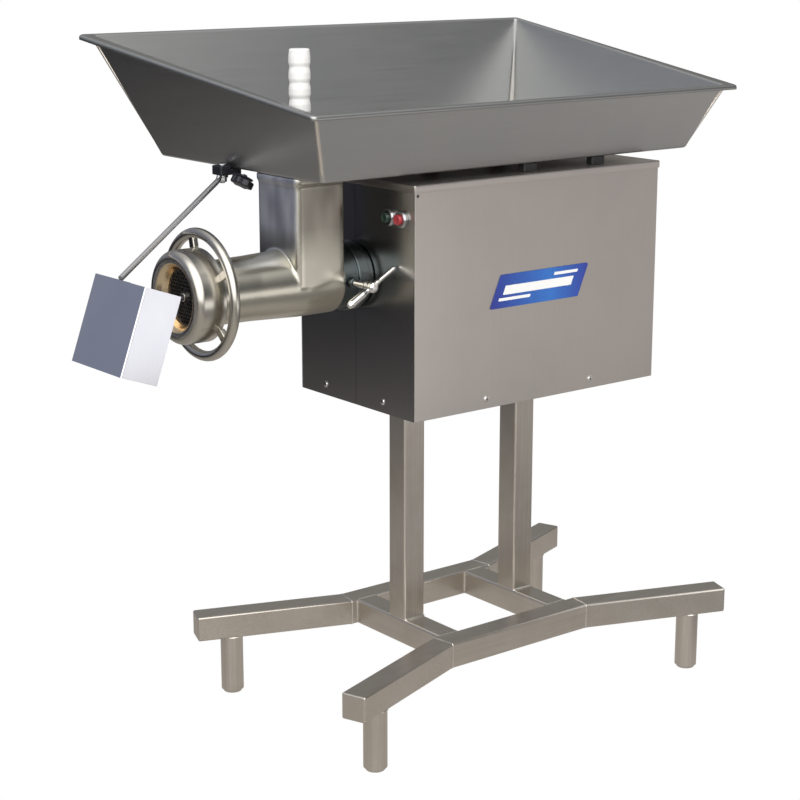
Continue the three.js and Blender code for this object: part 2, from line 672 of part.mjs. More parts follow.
  // Clamp screw with its cross bar.
  const bar = { length: 108, tilt: THREE.MathUtils.degToRad(30), radius: 5 };
  const clampGroup = new THREE.Group();
  clampGroup.position.set(clamp.x, clamp.y, clamp.z);
  group.add(clampGroup);
  add('clamp_screw', cut(
    turnedX([
      [0, 44.2 - clamp.x], [clamp.radius, 44.2 - clamp.x], [clamp.radius, -15], [8, -13], [9.5, -8],
      [9.5, 6], [7.5, 9], [0, 9.5],
    ], 16),
    turnedZ(rodProfile(bar.radius, -20, 20), 12).rotateX(bar.tilt - Math.PI / 2),
  ), 'chrome', { group: clampGroup });
  add('tommy_bar', turnedY([
    [0, -bar.length / 2], [4.5, -bar.length / 2 + 1], [7, -bar.length / 2 + 8], [bar.radius - gap, -14],
    [bar.radius - gap, 14], [3.8, bar.length / 2 - 8], [4.2, bar.length / 2 - 3], [0, bar.length / 2],
  ], 12).rotateX(bar.tilt), 'chrome', { group: clampGroup });
}

// ---- feed pan, guard and stomper ----------------------------------------------------------------

/** Height over the pan's floor of a rim point at x. */
const rimRise = (x) => {
  const right = pan.floor.x1 + pan.slope * pan.rimRight;
  const left = pan.floor.x0 - pan.slope * pan.rimLeft;
  return pan.rimRight + (pan.rimLeft - pan.rimRight) * (right - x) / (right - left);
};

/** The four rim corners, pushed outward and down. */
function rimCorners(out, down) {
  const { x0, x1, y0, y1 } = pan.floor;
  const corner = (x, y, rise) => [
    x + Math.sign(x - (x0 + x1) / 2) * (pan.slope * rise + out),
    y + Math.sign(y - (y0 + y1) / 2) * (pan.slope * rise + out),
  ];
  return [[x1, y0, pan.rimRight], [x1, y1, pan.rimRight], [x0, y1, pan.rimLeft], [x0, y0, pan.rimLeft]]
    .map(([x, y, rise]) => {
      const [cx, cy] = corner(x, y, rise);
      return new THREE.Vector3(cx, cy, pan.z + rimRise(cx) - down);
    });
}

/** The four corners of the pan's floor, moved inward, at the height z. */
const floorCorners = (inset, z) => {
  const { x0, x1, y0, y1 } = pan.floor;
  return [[x0, y0, 1, 1], [x1, y0, -1, 1], [x1, y1, -1, -1], [x0, y1, 1, -1]]
    .map(([x, y, towardX, towardY]) => new THREE.Vector3(x + towardX * inset, y + towardY * inset, z));
};

function buildPan() {
  const outside = new ConvexGeometry([...floorCorners(0, pan.z), ...rimCorners(0, 0)]);
  const inset = sheet * 1.08;
  const inside = new ConvexGeometry([
    ...floorCorners(inset - pan.slope * sheet, pan.z + sheet), ...rimCorners(40 * pan.slope - inset, -40),
  ]);
  const lip = new ConvexGeometry([...rimCorners(pan.lip, 0), ...rimCorners(pan.lip, pan.lipDrop)]);
  const underLip = new ConvexGeometry([
    ...rimCorners(pan.lip - sheet, sheet), ...rimCorners(pan.lip - sheet, pan.lipDrop + 2),
  ]);
  const throatHole = prismZ(roundedRectangle(throat.width, throat.depth, throat.radius), pan.z - 1, pan.z + 3)
    .translate(0, neck.y, 0);
  add('feed_pan', cut(join(outside, cut(lip, underLip)), inside, throatHole), 'brushed');
}

const pivot = { x: -122, y: -179 };
const knob = { x: -84, y: -166, z: 935, tilt: THREE.MathUtils.degToRad(-30) };

function buildGuard() {
  // The block sits against the pan's front wall. Its sloping tongue carries the knob.
  const bottom = 945;
  const hookTop = pan.z + 5;
  const width = 28;
  const tongue = { from: 7, to: 10.5, half: 12 };
  const leaning = (geometry) => geometry.rotateX(knob.tilt).translate(knob.x, knob.y, knob.z);
  const pivotHole = turnedZ(rodProfile(4.3, bottom - 2, hookTop + 1), 16).translate(pivot.x, pivot.y, 0);
  add('guard_block', cut(
    join(
      block(pivot.x - width / 2, -191, bottom, pivot.x + width / 2, -150, pan.z - gap),
      block(pivot.x - width / 2, -191, pan.z - 2, pivot.x + width / 2, -170.4, hookTop),
      leaning(block(
        pivot.x - knob.x + width / 2 - 1, -tongue.half, tongue.from, tongue.half, tongue.half, tongue.to,
      )),
    ),
    pivotHole, leaning(turnedZ(rodProfile(3.8, tongue.from - 2, tongue.to + 2), 16)),
  ), 'blackPlastic');

  // Pivot bolt with a round head above and a nut below the rod's eye.
  const eyeTop = bottom - gap;
  const eyeBottom = eyeTop - 4.5;
  const headZ = hookTop + gap;
  add('guard_bolt', join(
    turnedZ([
      [0, eyeBottom - 9], [4, eyeBottom - 9], [4, headZ - 0.1], [7.5, headZ], [7.5, headZ + 3.5],
      [0, headZ + 4.5],
    ], 16),
    turnedZ(rodProfile(7.5, eyeBottom - 7, eyeBottom - gap), 6),
  ), 'chrome', { at: [pivot.x, pivot.y, 0] });

  // Rod from the pivot's eye down to the plate.
  const rodEnd = new THREE.Vector3(-11, -438.5, 818);
  const rodStart = new THREE.Vector3(pivot.x, pivot.y, (eyeTop + eyeBottom) / 2);
  const along = rodEnd.clone().sub(rodStart);
  const eye = { radius: 9.5, bore: 4.4 };
  const stem = turnedZ(rodProfile(4.6, eye.radius + 1.5, along.length()), 10);
  stem.applyQuaternion(new THREE.Quaternion().setFromUnitVectors(
    new THREE.Vector3(0, 0, 1), along.clone().normalize(),
  )).translate(...rodStart);
  const eyeRing = turnedZ(ringProfile(eye.radius, eye.bore, eyeBottom, eyeTop), 16);
  const tab = block(eye.bore + 0.6, -4, eyeBottom, 16, 4, eyeTop).rotateZ(Math.atan2(along.y, along.x));
  add('guard_rod', join(
    eyeRing.translate(pivot.x, pivot.y, 0), tab.translate(pivot.x, pivot.y, 0), stem,
  ), 'steel');

  // Bent plate: a leaning front and two wings behind it.
  const plate = { width: 152, height: 141, wing: 66, sheet: 2, tilt: THREE.MathUtils.degToRad(19.8) };
  const w = plate.width / 2;
  const channel = polygon([
    [-w, 0], [w, 0], [w, plate.wing], [w - plate.sheet, plate.wing], [w - plate.sheet, plate.sheet],
    [-w + plate.sheet, plate.sheet], [-w + plate.sheet, plate.wing], [-w, plate.wing],
  ]);
  add('guard_plate', prismZ(channel, -plate.height, 0), 'brushed', {
    at: [rodEnd.x, -440.5, 816], turn: [-plate.tilt, 0, 0],
  });

  // Six-lobed knob, screwed up through the tongue.
  const lobes = new THREE.Shape();
  const lobe = { count: 6, radius: 17, depth: 2, points: 36, half: 6 };
  for (let i = 0; i < lobe.points; i++) {
    const angle = 2 * Math.PI * i / lobe.points;
    const r = lobe.radius + lobe.depth * Math.cos(lobe.count * angle);
    lobes[i ? 'lineTo' : 'moveTo'](r * Math.cos(angle), r * Math.sin(angle));
  }
  add('guard_knob', join(
    prismZ(lobes, -lobe.half, lobe.half),
    turnedZ(rodProfile(8, lobe.half - 1, tongue.from - gap), 16),
    turnedZ(rodProfile(3.5, lobe.half - 1, tongue.to + 3), 12),
  ), 'blackPlastic', { at: [knob.x, knob.y, knob.z], turn: [knob.tilt, 0, 0] });
}

function buildStomper() {
  // A waisted grip over a stout foot that stands in the throat.
  const top = 1151;
  const bottom = axisZ + 55;
  const grip = { radius: 17.5, waist: 15.8, pitch: 25, from: 1020 };
  const profile = [
    [0, bottom], [26, bottom], [29, bottom + 4], [29, bottom + 80], [16, bottom + 95], [16, grip.from],
  ];
  for (let z = grip.from; z < top - 10; z += grip.pitch) {
    profile.push([grip.waist, z + 3], [grip.radius, z + 9], [grip.radius, z + 19]);
  }
  profile.push([15.5, top], [0, top]);
  add('stomper', turnedZ(profile, 12), 'whitePlastic', { at: [0, neck.y, 0] });
}

buildStand();
buildCabinet();
buildControls();
buildMotor(buildGearbox());
buildHead();
buildPan();
buildGuard();
buildStomper();

// The origin is on the floor, under the middle of the machine's outer box.
const outerBox = new THREE.Box3().setFromObject(machine, true);
const middle = outerBox.getCenter(new THREE.Vector3());
machine.position.set(-middle.x, -middle.y, -outerBox.min.z);

export default machine;
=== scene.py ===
"""Looks of the floor-standing meat grinder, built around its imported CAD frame.

Shapes are drawn in millimetres in the machine's own frame: x = 0 is the head's axis, y = 0 the cabinet's
front face, z = 0 the floor, and the front faces -Y. piece() moves them into the frame's metres.
"""

import math

import bmesh
import bpy
from mathutils import Matrix, Vector


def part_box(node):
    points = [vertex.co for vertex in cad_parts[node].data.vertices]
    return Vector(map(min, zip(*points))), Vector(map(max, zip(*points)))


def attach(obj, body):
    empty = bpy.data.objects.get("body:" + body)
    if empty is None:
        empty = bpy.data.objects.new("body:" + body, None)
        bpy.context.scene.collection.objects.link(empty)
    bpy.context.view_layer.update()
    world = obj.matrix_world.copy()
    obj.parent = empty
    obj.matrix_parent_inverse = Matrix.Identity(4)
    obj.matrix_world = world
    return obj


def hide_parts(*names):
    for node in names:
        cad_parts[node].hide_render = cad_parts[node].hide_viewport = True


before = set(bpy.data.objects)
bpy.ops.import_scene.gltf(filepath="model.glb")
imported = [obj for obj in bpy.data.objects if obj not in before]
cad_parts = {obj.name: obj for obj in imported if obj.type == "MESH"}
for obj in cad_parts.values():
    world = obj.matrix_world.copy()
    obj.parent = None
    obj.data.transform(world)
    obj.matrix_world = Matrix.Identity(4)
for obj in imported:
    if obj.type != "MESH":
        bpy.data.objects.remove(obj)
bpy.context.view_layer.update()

MM = 0.001
lid_low, lid_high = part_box("lid")
ORIGIN = Vector(((lid_low.x + lid_high.x) / 2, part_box("side_panel_right")[0].y, 0.0))
PLACE = Matrix.Translation(ORIGIN) @ Matrix.Scale(MM, 4)


def box_mm(node):
    """A CAD node's lowest and highest corners in the machine's frame, in millimetres."""
    low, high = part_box(node)
    return (low - ORIGIN) / MM, (high - ORIGIN) / MM


# ---- driving dimensions, in millimetres ---------------------------------------------------------

SHEET = 2.0
AXIS_Z = sum(corner.z for corner in box_mm("ring_nut")) / 2

STAND = {
    "tube": 45.0, "corner": 4.0, "top": box_mm("rail_right")[1].z, "half_span": 160.6,
    "bend_front": 83.0, "bend_rear": 395.0, "end_front": -177.0, "end_rear": 657.0,
    "flare": math.radians(20),
}
PAN = {
    "z": box_mm("feed_pan")[0].z, "x0": -336.0, "x1": 138.0, "y0": -165.0, "y1": 636.0,
    "slope": 0.402, "rise_right": 112.0, "rise_left": 205.0, "lip": 17.0, "drop": 8.0,
}
NECK = {"y": -108.65, "width": 114.0, "depth": 96.7, "corner": 10.0, "rim": 3.0, "rim_height": 12.0}
THROAT = {"width": 92.0, "depth": 74.7, "corner": 14.0}


# ---- materials ----------------------------------------------------------------------------------

MATERIALS = {}


def new_material(name):
    """Keeps a new Principled material by name, and returns its node tree and shader."""
    material = MATERIALS[name] = bpy.data.materials.new(name)
    material.use_nodes = True
    return material.node_tree, material.node_tree.nodes["Principled BSDF"]


def stretched_noise(tree, scales, detail=3.0, roughness=0.6):
    """Noise over the part's own coordinates, with its own scale, in 1/m, along each axis."""
    place = tree.nodes.new("ShaderNodeTexCoord")
    mapping = tree.nodes.new("ShaderNodeMapping")
    mapping.inputs["Scale"].default_value = scales
    noise = tree.nodes.new("ShaderNodeTexNoise")
    noise.inputs["Scale"].default_value = 1.0
    noise.inputs["Detail"].default_value = detail
    noise.inputs["Roughness"].default_value = roughness
    tree.links.new(place.outputs["Object"], mapping.inputs["Vector"])
    tree.links.new(mapping.outputs["Vector"], noise.inputs["Vector"])
    return noise.outputs["Fac"]


def axes_of(tree, vector):
    """The X, Y and Z outputs of a vector socket."""
    node = tree.nodes.new("ShaderNodeSeparateXYZ")
    tree.links.new(vector, node.inputs["Vector"])
    return node.outputs


def product(tree, first, second):
    """Two values multiplied."""
    node = tree.nodes.new("ShaderNodeMath")
    node.operation = "MULTIPLY"
    tree.links.new(first, node.inputs[0])
    tree.links.new(second, node.inputs[1])
    return node.outputs["Value"]


def ranged(tree, value, low, high, start=0.3, end=0.7):
    """A value from start to end, mapped to low to high."""
    node = tree.nodes.new("ShaderNodeMapRange")
    node.inputs["From Min"].default_value = start
    node.inputs["From Max"].default_value = end
    node.inputs["To Min"].default_value = low
    node.inputs["To Max"].default_value = high
    tree.links.new(value, node.inputs["Value"])
    return node.outputs["Result"]


def mixed(tree, factor, first, second):
    """A colour between two colours, each a colour or a socket."""
    node = tree.nodes.new("ShaderNodeMix")
    node.data_type = "RGBA"
    tree.links.new(factor, node.inputs["Factor"])
    for socket, colour in ((node.inputs[6], first), (node.inputs[7], second)):
        if isinstance(colour, tuple):
            socket.default_value = (*colour, 1.0)
        else:
            tree.links.new(colour, socket)
    return node.outputs[2]


def bumped(tree, shader, height, strength, distance):
    node = tree.nodes.new("ShaderNodeBump")
    node.inputs["Strength"].default_value = strength
    node.inputs["Distance"].default_value = distance
    tree.links.new(height, node.inputs["Height"])
    tree.links.new(node.outputs["Normal"], shader.inputs["Normal"])


GRAIN = {
    "x": (6.0, 700.0, 700.0),
    "y": (700.0, 6.0, 700.0),
    "z": (700.0, 700.0, 6.0),
    "none": (40.0, 40.0, 40.0),
}


def steel(name, colour, roughness, grain="none", spread=0.03, shade=0.1, cloud=7.0, bump=0.05, tint=None):
    """Stainless brushed along an axis, or with an even grain. shade is how far the colour varies."""
    tree, shader = new_material(name)
    shader.inputs["Metallic"].default_value = 1.0
    streaks = stretched_noise(tree, GRAIN[grain], detail=4.0)
    clouds = stretched_noise(tree, (cloud, cloud, cloud), detail=3.0)
    dark = tuple(c * (1 - shade) for c in colour)
    light = tuple(min(1.0, c * (1 + 0.5 * shade)) for c in colour)
    brushed = mixed(tree, ranged(tree, streaks, 0.0, 1.0), dark, light)
    stained = tuple(c * t for c, t in zip(colour, tint or (0.86, 0.87, 0.9)))
    cloudy = mixed(tree, ranged(tree, clouds, 0.0, 0.5, 0.4, 0.75), brushed, stained)
    tree.links.new(cloudy, shader.inputs["Base Color"])
    finish = ranged(tree, streaks, roughness - spread, roughness + spread)
    tree.links.new(finish, shader.inputs["Roughness"])
    if bump:
        bumped(tree, shader, streaks, bump, 0.0001)


def moulded(name, colour, roughness, grain=900.0, bump=0.1, coat=0.0, shade=0.12, specular=0.5):
    """Plastic, rubber or paint with a fine moulded grain and slight colour variation."""
    tree, shader = new_material(name)
    shader.inputs["Coat Weight"].default_value = coat
    shader.inputs["Specular IOR Level"].default_value = specular
    fine = stretched_noise(tree, (grain, grain, grain), detail=2.0)
    coarse = stretched_noise(tree, (25.0, 25.0, 25.0))
    darker = tuple(c * (1 - shade) for c in colour)
    tree.links.new(mixed(tree, ranged(tree, coarse, 0.0, 1.0), darker, colour), shader.inputs["Base Color"])
    tree.links.new(ranged(tree, fine, roughness - 0.05, roughness + 0.05), shader.inputs["Roughness"])
    bumped(tree, shader, fine, bump, 0.0003)


PINK_STEEL = (0.60, 0.565, 0.54)
GREY_STEEL = (0.55, 0.55, 0.545)
WARM_STEEL = (0.62, 0.58, 0.53)
# The pan's steel darkened for its inside: painted shade.
PAN_STEEL_PAINTED_SHADE = (0.39, 0.395, 0.39)
CAST_STEEL = (0.54, 0.52, 0.45)


def cast_steel():
    """The polished casting. Its neck's front is rougher and carries a painted cool, bright reflection, and
    its right side carries painted shade.
    """
    tree, shader = new_material("cast")
    shader.inputs["Metallic"].default_value = 1.0
    place = axes_of(tree, tree.nodes.new("ShaderNodeTexCoord").outputs["Object"])
    facing = axes_of(tree, tree.nodes.new("ShaderNodeNewGeometry").outputs["Normal"])
    neck = ranged(tree, place["Z"], 0.0, 1.0, (AXIS_Z + 38) * MM, (AXIS_Z + 95) * MM)
    # Chosen by the way a face looks: the neck's front gets a painted bluish reflection, its right flank
    # painted shade.
    front = product(tree, neck, ranged(tree, facing["Y"], 1.0, 0.0, -0.98, -0.6))
    flank_shade_mask = product(tree, neck, ranged(tree, facing["X"], 0.0, 1.0, 0.75, 0.98))
    clouds = ranged(tree, stretched_noise(tree, (14.0, 14.0, 14.0)), 0.0, 1.0)
    streaks = ranged(tree, stretched_noise(tree, (26.0, 26.0, 9.0), detail=1.0), 0.0, 1.0)
    body = mixed(tree, clouds, tuple(c * 0.95 for c in CAST_STEEL), CAST_STEEL)
    # Colours of the painted reflection on the neck's front and of the painted shade on its flank.
    painted_front_reflection = mixed(tree, streaks, (0.40, 0.42, 0.50), (0.92, 0.94, 1.0))
    painted_flank_shade = mixed(tree, streaks, (0.22, 0.205, 0.18), (0.35, 0.33, 0.29))
    tree.links.new(mixed(tree, flank_shade_mask, mixed(tree, front, body, painted_front_reflection), painted_flank_shade), shader.inputs["Base Color"])
    tree.links.new(ranged(tree, front, 0.25, 0.46, 0.0, 1.0), shader.inputs["Roughness"])


steel("panel_side", PINK_STEEL, 0.34, "z", shade=0.03, cloud=5.0)
steel("panel_front", (0.52, 0.505, 0.485), 0.25, spread=0.004, shade=0.01, cloud=4.0, bump=0.0)
steel("panel_lid", PINK_STEEL, 0.33, "y", shade=0.05)
steel("pan_y", GREY_STEEL, 0.34, "y", shade=0.04, cloud=4.0)
steel("pan_x", GREY_STEEL, 0.34, "x", shade=0.04, cloud=4.0)
# The pan's inside: the same steel darkened, as painted shade inside the pan.
steel("pan_inside_shade_y", PAN_STEEL_PAINTED_SHADE, 0.36, "y", shade=0.04, cloud=4.0)
steel("pan_inside_shade_x", PAN_STEEL_PAINTED_SHADE, 0.46, "x", shade=0.04, cloud=4.0)
steel("tube_y", WARM_STEEL, 0.33, "y", shade=0.14, cloud=14.0, tint=(0.8, 0.78, 0.74))
steel("tube_x", WARM_STEEL, 0.33, "x", shade=0.14, cloud=14.0, tint=(0.8, 0.78, 0.74))
steel("tube_z", WARM_STEEL, 0.33, "z", shade=0.14, cloud=14.0, tint=(0.78, 0.74, 0.68))
steel("weld", (0.86, 0.83, 0.77), 0.3, shade=0.2, cloud=90.0)
steel("seam", (0.80, 0.74, 0.67), 0.42, shade=0.06, cloud=40.0, bump=0.01)
cast_steel()
# The outlet nut's bore is coloured golden: a painted reflection.
steel("nut_bore_painted_reflection", (0.74, 0.60, 0.41), 0.22, spread=0.02, shade=0.04, cloud=20.0, bump=0.0)
steel("polished", (0.57, 0.545, 0.49), 0.23, spread=0.02, shade=0.04, cloud=20.0, bump=0.006)
steel("collar", (0.10, 0.118, 0.122), 0.3, shade=0.06, cloud=40.0, bump=0.01)
steel("chrome", (0.76, 0.75, 0.73), 0.14, shade=0.05, cloud=60.0, bump=0.01)
steel("bezel", (0.42, 0.42, 0.43), 0.22, shade=0.1, cloud=60.0, bump=0.01)
# The guard's bluish colour and bluish tint are a painted reflection of bluish light.
steel("guard", (0.66, 0.67, 0.72), 0.2, "z", shade=0.04, cloud=8.0, bump=0.01, tint=(0.88, 0.89, 0.94))
steel("rod", (0.50, 0.50, 0.51), 0.42, spread=0.0, shade=0.02, cloud=6.0, bump=0.0)
steel("machined", (0.5, 0.5, 0.49), 0.35, shade=0.2, cloud=50.0)
steel("dark_plate", (0.09, 0.09, 0.095), 0.4, shade=0.3, cloud=60.0)
moulded("gearbox_iron", (0.09, 0.13, 0.16), 0.55, grain=300.0, bump=0.4)
moulded("motor_paint", (0.05, 0.08, 0.11), 0.4, grain=400.0, bump=0.3, coat=0.2)
moulded("black", (0.012, 0.013, 0.02), 0.42, bump=0.15)
moulded("rubber", (0.012, 0.012, 0.012), 0.6, bump=0.2)
moulded("red", (0.42, 0.04, 0.05), 0.3, coat=0.3, bump=0.05)
moulded("green", (0.02, 0.045, 0.03), 0.2, coat=0.6, bump=0.05)
moulded("white", (0.92, 0.92, 0.91), 0.4, bump=0.05, shade=0.02)


# ---- shapes -------------------------------------------------------------------------------------

def on_axis(axis, a, b, along):
    """A point whose two cross coordinates are a and b, at a height along an axis."""
    return {"X": (along, a, b), "Y": (a, along, b), "Z": (a, b, along)}[axis]


def fillet(points, closed=True, steps=5):
    """A line whose corners are rounded: each point is (a, b) or (a, b, radius)."""
    rounded = []
    count = len(points)
    for i, point in enumerate(points):
        here = Vector(point[:2])
        radius = point[2] if len(point) > 2 else 0.0
        if radius == 0 or (not closed and i in (0, count - 1)):
            rounded.append(tuple(here))
            continue
        back = (Vector(points[i - 1][:2]) - here).normalized()
        ahead = (Vector(points[(i + 1) % count][:2]) - here).normalized()
        half = back.angle(ahead) / 2
        centre = here + (back + ahead).normalized() * (radius / math.sin(half))
        first = here + back * (radius / math.tan(half)) - centre
        last = here + ahead * (radius / math.tan(half)) - centre
        start = math.atan2(first.y, first.x)
        turn = math.remainder(math.atan2(last.y, last.x) - start, 2 * math.pi)
        for k in range(steps + 1):
            angle = start + turn * k / steps
            rounded.append((centre.x + radius * math.cos(angle), centre.y + radius * math.sin(angle)))
    return rounded


def circle(x, y, radius, steps=24):
    return [(x + radius * math.cos(2 * math.pi * i / steps), y + radius * math.sin(2 * math.pi * i / steps))
            for i in range(steps)]


def rectangle(x0, y0, x1, y1, corner=0.0):
    return fillet([(x0, y0, corner), (x1, y0, corner), (x1, y1, corner), (x0, y1, corner)])


def centred(width, depth, corner=0.0):
    return rectangle(-width / 2, -depth / 2, width / 2, depth / 2, corner)


def lathe(profile, axis="Z", centre=(0.0, 0.0, 0.0), steps=96):
    """A profile of (radius, height) points turned about an axis through centre."""
    bm = bmesh.new()
    rings = []
    for radius, height in profile:
        count = 1 if radius < 1e-6 else steps
        rings.append([
            bm.verts.new(Vector(centre) + Vector(on_axis(
                axis, radius * math.cos(2 * math.pi * i / steps), radius * math.sin(2 * math.pi * i / steps),
                height)))
            for i in range(count)
        ])
    pairs = list(zip(rings, rings[1:]))
    if len(rings[0]) > 1:
        pairs.append((rings[-1], rings[0]))
    for a, b in pairs:
        for i in range(steps):
            j = (i + 1) % steps
            corners = [a[i % len(a)], a[j % len(a)], b[j % len(b)], b[i % len(b)]]
            bm.faces.new(list(dict.fromkeys(corners)))
    return bm


def prism(outline, low, high, axis="Z", holes=()):
    """An outline, with any holes, extruded along an axis."""
    bm = bmesh.new()
    ends = []
    for along in (low, high):
        loops = [[bm.verts.new(on_axis(axis, a, b, along)) for a, b in loop] for loop in (outline, *holes)]
        ends.append(loops)
        if holes:
            edges = [bm.edges.new((loop[i - 1], loop[i])) for loop in loops for i in range(len(loop))]
            bmesh.ops.triangle_fill(bm, use_beauty=True, use_dissolve=False, edges=edges)
        else:
            bm.faces.new(loops[0])
    for bottom, top in zip(*ends):
        for i in range(len(bottom)):
            bm.faces.new((bottom[i - 1], bottom[i], top[i], top[i - 1]))
    return bm


def tube(points, radius, sides=12, closed=False, ripple=0.0):
    """A round rod or weld bead along a line; ripple makes a weld's scales."""
    bm = bmesh.new()
    points = [Vector(p) for p in points]
    count = len(points)
    rings = []
    side = None
    for i, point in enumerate(points):
        before = points[i - 1] if closed or i else point
        after = points[(i + 1) % count] if closed or i < count - 1 else point
        along = (after - before).normalized()
        if side is None:
            side = along.orthogonal().normalized()
        side = (side - along * side.dot(along)).normalized()
        other = along.cross(side)
        size = radius * (1 + ripple * math.sin(i * 2.4))
        rings.append([
            bm.verts.new(point + size * (math.cos(a) * side + math.sin(a) * other))
            for a in (2 * math.pi * k / sides for k in range(sides))
        ])
    pairs = list(zip(rings, rings[1:]))
    if closed:
        pairs.append((rings[-1], rings[0]))
    else:
        bm.faces.new(rings[0])
        bm.faces.new(rings[-1])
    for a, b in pairs:
        for k in range(sides):
            bm.faces.new((a[k - 1], a[k], b[k], b[k - 1]))
    return bm


def line(start, end, pitch=3.0):
    """Evenly spaced points from start to end."""
    start, end = Vector(start), Vector(end)
    count = max(2, round((end - start).length / pitch))
    return [start.lerp(end, i / count) for i in range(count + 1)]


def soften(bm, width, segments=3, angle=30):
    """Rounds every edge sharper than angle."""
    bmesh.ops.recalc_face_normals(bm, faces=bm.faces)
    sharp = [e for e in bm.edges if len(e.link_faces) == 2 and e.calc_face_angle(0) > math.radians(angle)]
    bmesh.ops.bevel(bm, geom=sharp, offset=width, segments=segments, profile=0.5, affect="EDGES",
                    clamp_overlap=True)
    return bm


def joined(*shapes):
    """Several closed shapes as one."""
    whole = bmesh.new()
    for shape in shapes:
        part = bpy.data.meshes.new("part")
        shape.to_mesh(part)
        shape.free()
        whole.from_mesh(part)
        bpy.data.meshes.remove(part)
    return whole


def turned(shape, matrix):
    bmesh.ops.transform(shape, matrix=matrix, verts=shape.verts)
    return shape


def piece(name, shape, material, body, replaces=(), smooth=35, shell=0.0, closed=True):
    """Turns a shape into an object that rides on a body and stands for CAD nodes."""
    if closed:
        bmesh.ops.recalc_face_normals(shape, faces=shape.faces)
    mesh = bpy.data.meshes.new(name)
    shape.to_mesh(mesh)
    shape.free()
    mesh.transform(PLACE)
    mesh.shade_smooth()
    mesh.set_sharp_from_angle(angle=math.radians(smooth))
    mesh.materials.append(MATERIALS[material])
    thing = bpy.data.objects.new(name, mesh)
    bpy.context.scene.collection.objects.link(thing)
    if shell:
        solidify = thing.modifiers.new("sheet", "SOLIDIFY")
        solidify.thickness = shell * MM
        solidify.offset = -1.0
    flatten = thing.modifiers.new("flat faces", "WEIGHTED_NORMAL")
    flatten.weight = 80
    flatten.keep_sharp = True
    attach(thing, body)
    if replaces:
        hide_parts(*replaces)
    return thing


# ---- stand --------------------------------------------------------------------------------------

def rail_reach(y):
    """How far a rail's outer face stands from the middle at y."""
    over = max(STAND["bend_front"] - y, y - STAND["bend_rear"], 0.0)
    return STAND["half_span"] + over * math.tan(STAND["flare"])


def rail_outline(sign):
    tube_width, flare = STAND["tube"], STAND["flare"]
    inner_shift = tube_width * math.tan(flare / 2)
    across = tube_width * math.cos(flare)
    back = tube_width * math.sin(flare)
    inner = STAND["half_span"] - tube_width
    front_y, rear_y = STAND["end_front"], STAND["end_rear"]
    front_x, rear_x = rail_reach(front_y), rail_reach(rear_y)
    plan = [
        (front_x, front_y), (STAND["half_span"], STAND["bend_front"]),
        (STAND["half_span"], STAND["bend_rear"]), (rear_x, rear_y), (rear_x - across, rear_y + back),
        (inner, STAND["bend_rear"] + inner_shift), (inner, STAND["bend_front"] - inner_shift),
        (front_x - across, front_y - back),
    ]
    return [(sign * x, y) for x, y in plan]


def build_stand():
    tube_width, top, corner = STAND["tube"], STAND["top"], STAND["corner"]
    bottom = top - tube_width
    half = tube_width / 2
    middle = (top + bottom) / 2
    flare = STAND["flare"]
    for name, sign in (("right", 1), ("left", -1)):
        piece(f"stand_rail_{name}", soften(prism(rail_outline(sign), bottom, top), corner - 0.6, 4, 60),
              "tube_y", "frame", [f"rail_{name}"], smooth=25)
        beads = []
        for bend, outward in ((STAND["bend_front"], -1), (STAND["bend_rear"], 1)):
            turn = flare / 2
            across = Vector((sign * math.cos(turn), -outward * math.sin(turn), 0))
            width = tube_width / math.cos(turn)
            centre = Vector((sign * STAND["half_span"], bend, middle)) - across * (width / 2)
            loop = [centre + across * a + Vector((0, 0, 1)) * b
                    for a, b in centred(width, tube_width, corner)]
            beads.append(tube(loop, 1.0, 8, closed=True))
        piece(f"bend_welds_{name}", joined(*beads), "weld", "frame")

    reach = STAND["half_span"] - tube_width + 0.3
    outline = centred(tube_width, tube_width, corner)
    for name in ("front", "rear"):
        low, high = box_mm(f"post_{name}")
        y = (low.y + high.y) / 2
        cross = turned(prism(outline, -reach, reach, "X"), Matrix.Translation((0, y, middle)))
        piece(f"stand_cross_{name}", cross, "tube_x", "frame", [f"cross_tube_{name}"],
              smooth=30)
        post = turned(prism(outline, top - 0.5, high.z), Matrix.Translation((0, y, 0)))
        piece(f"stand_post_{name}", post, "tube_z", "frame", [f"post_{name}"], smooth=30)
        beads = []
        # The posts stand across their tubes, so they are welded on the two sides over the flat.
        base = rectangle(-half - 0.4, -half + 2.0, half + 0.4, half - 2.0, 2.0)
        beads.append(tube([(x, y + dy, top + 0.6) for x, dy in base], 2.2, 8, closed=True, ripple=0.1))
        for sign in (1, -1):
            x = sign * (reach - 0.4)
            for edge in (-half, half):
                seam = line((x, y + edge, bottom + 5), (x, y + edge, top - 4))
                beads.append(tube(seam, 2.0, 8, ripple=0.1))
            ridge = line((x, y - half + 4, top - 0.4), (x, y + half - 4, top - 0.4))
            beads.append(tube(ridge, 1.7, 8, ripple=0.1))
        piece(f"frame_welds_{name}", joined(*beads), "weld", "frame")

    for place in ("front_right", "front_left", "rear_right", "rear_left"):
        low, high = box_mm(f"foot_{place}")
        x, y, radius = (low.x + high.x) / 2, (low.y + high.y) / 2, (high.x - low.x) / 2
        profile = fillet([
            (0, 0), (radius - 4, 0, 1.0), (radius - 3, 4.2, 0.4), (radius, 5.0, 0.8), (radius, high.z),
            (0, high.z),
        ], closed=False)
        ring = [(a, b, high.z - 0.6) for a, b in circle(x, y, radius + 0.3, 48)]
        piece(f"stand_foot_{place}", lathe(profile, centre=(x, y, 0)), "tube_z", "frame",
              [f"foot_{place}"])
        piece(f"foot_weld_{place}", tube(ring, 1.5, 8, closed=True, ripple=0.15), "weld", "frame")


# ---- cabinet ------------------------------------------------------------------------------------

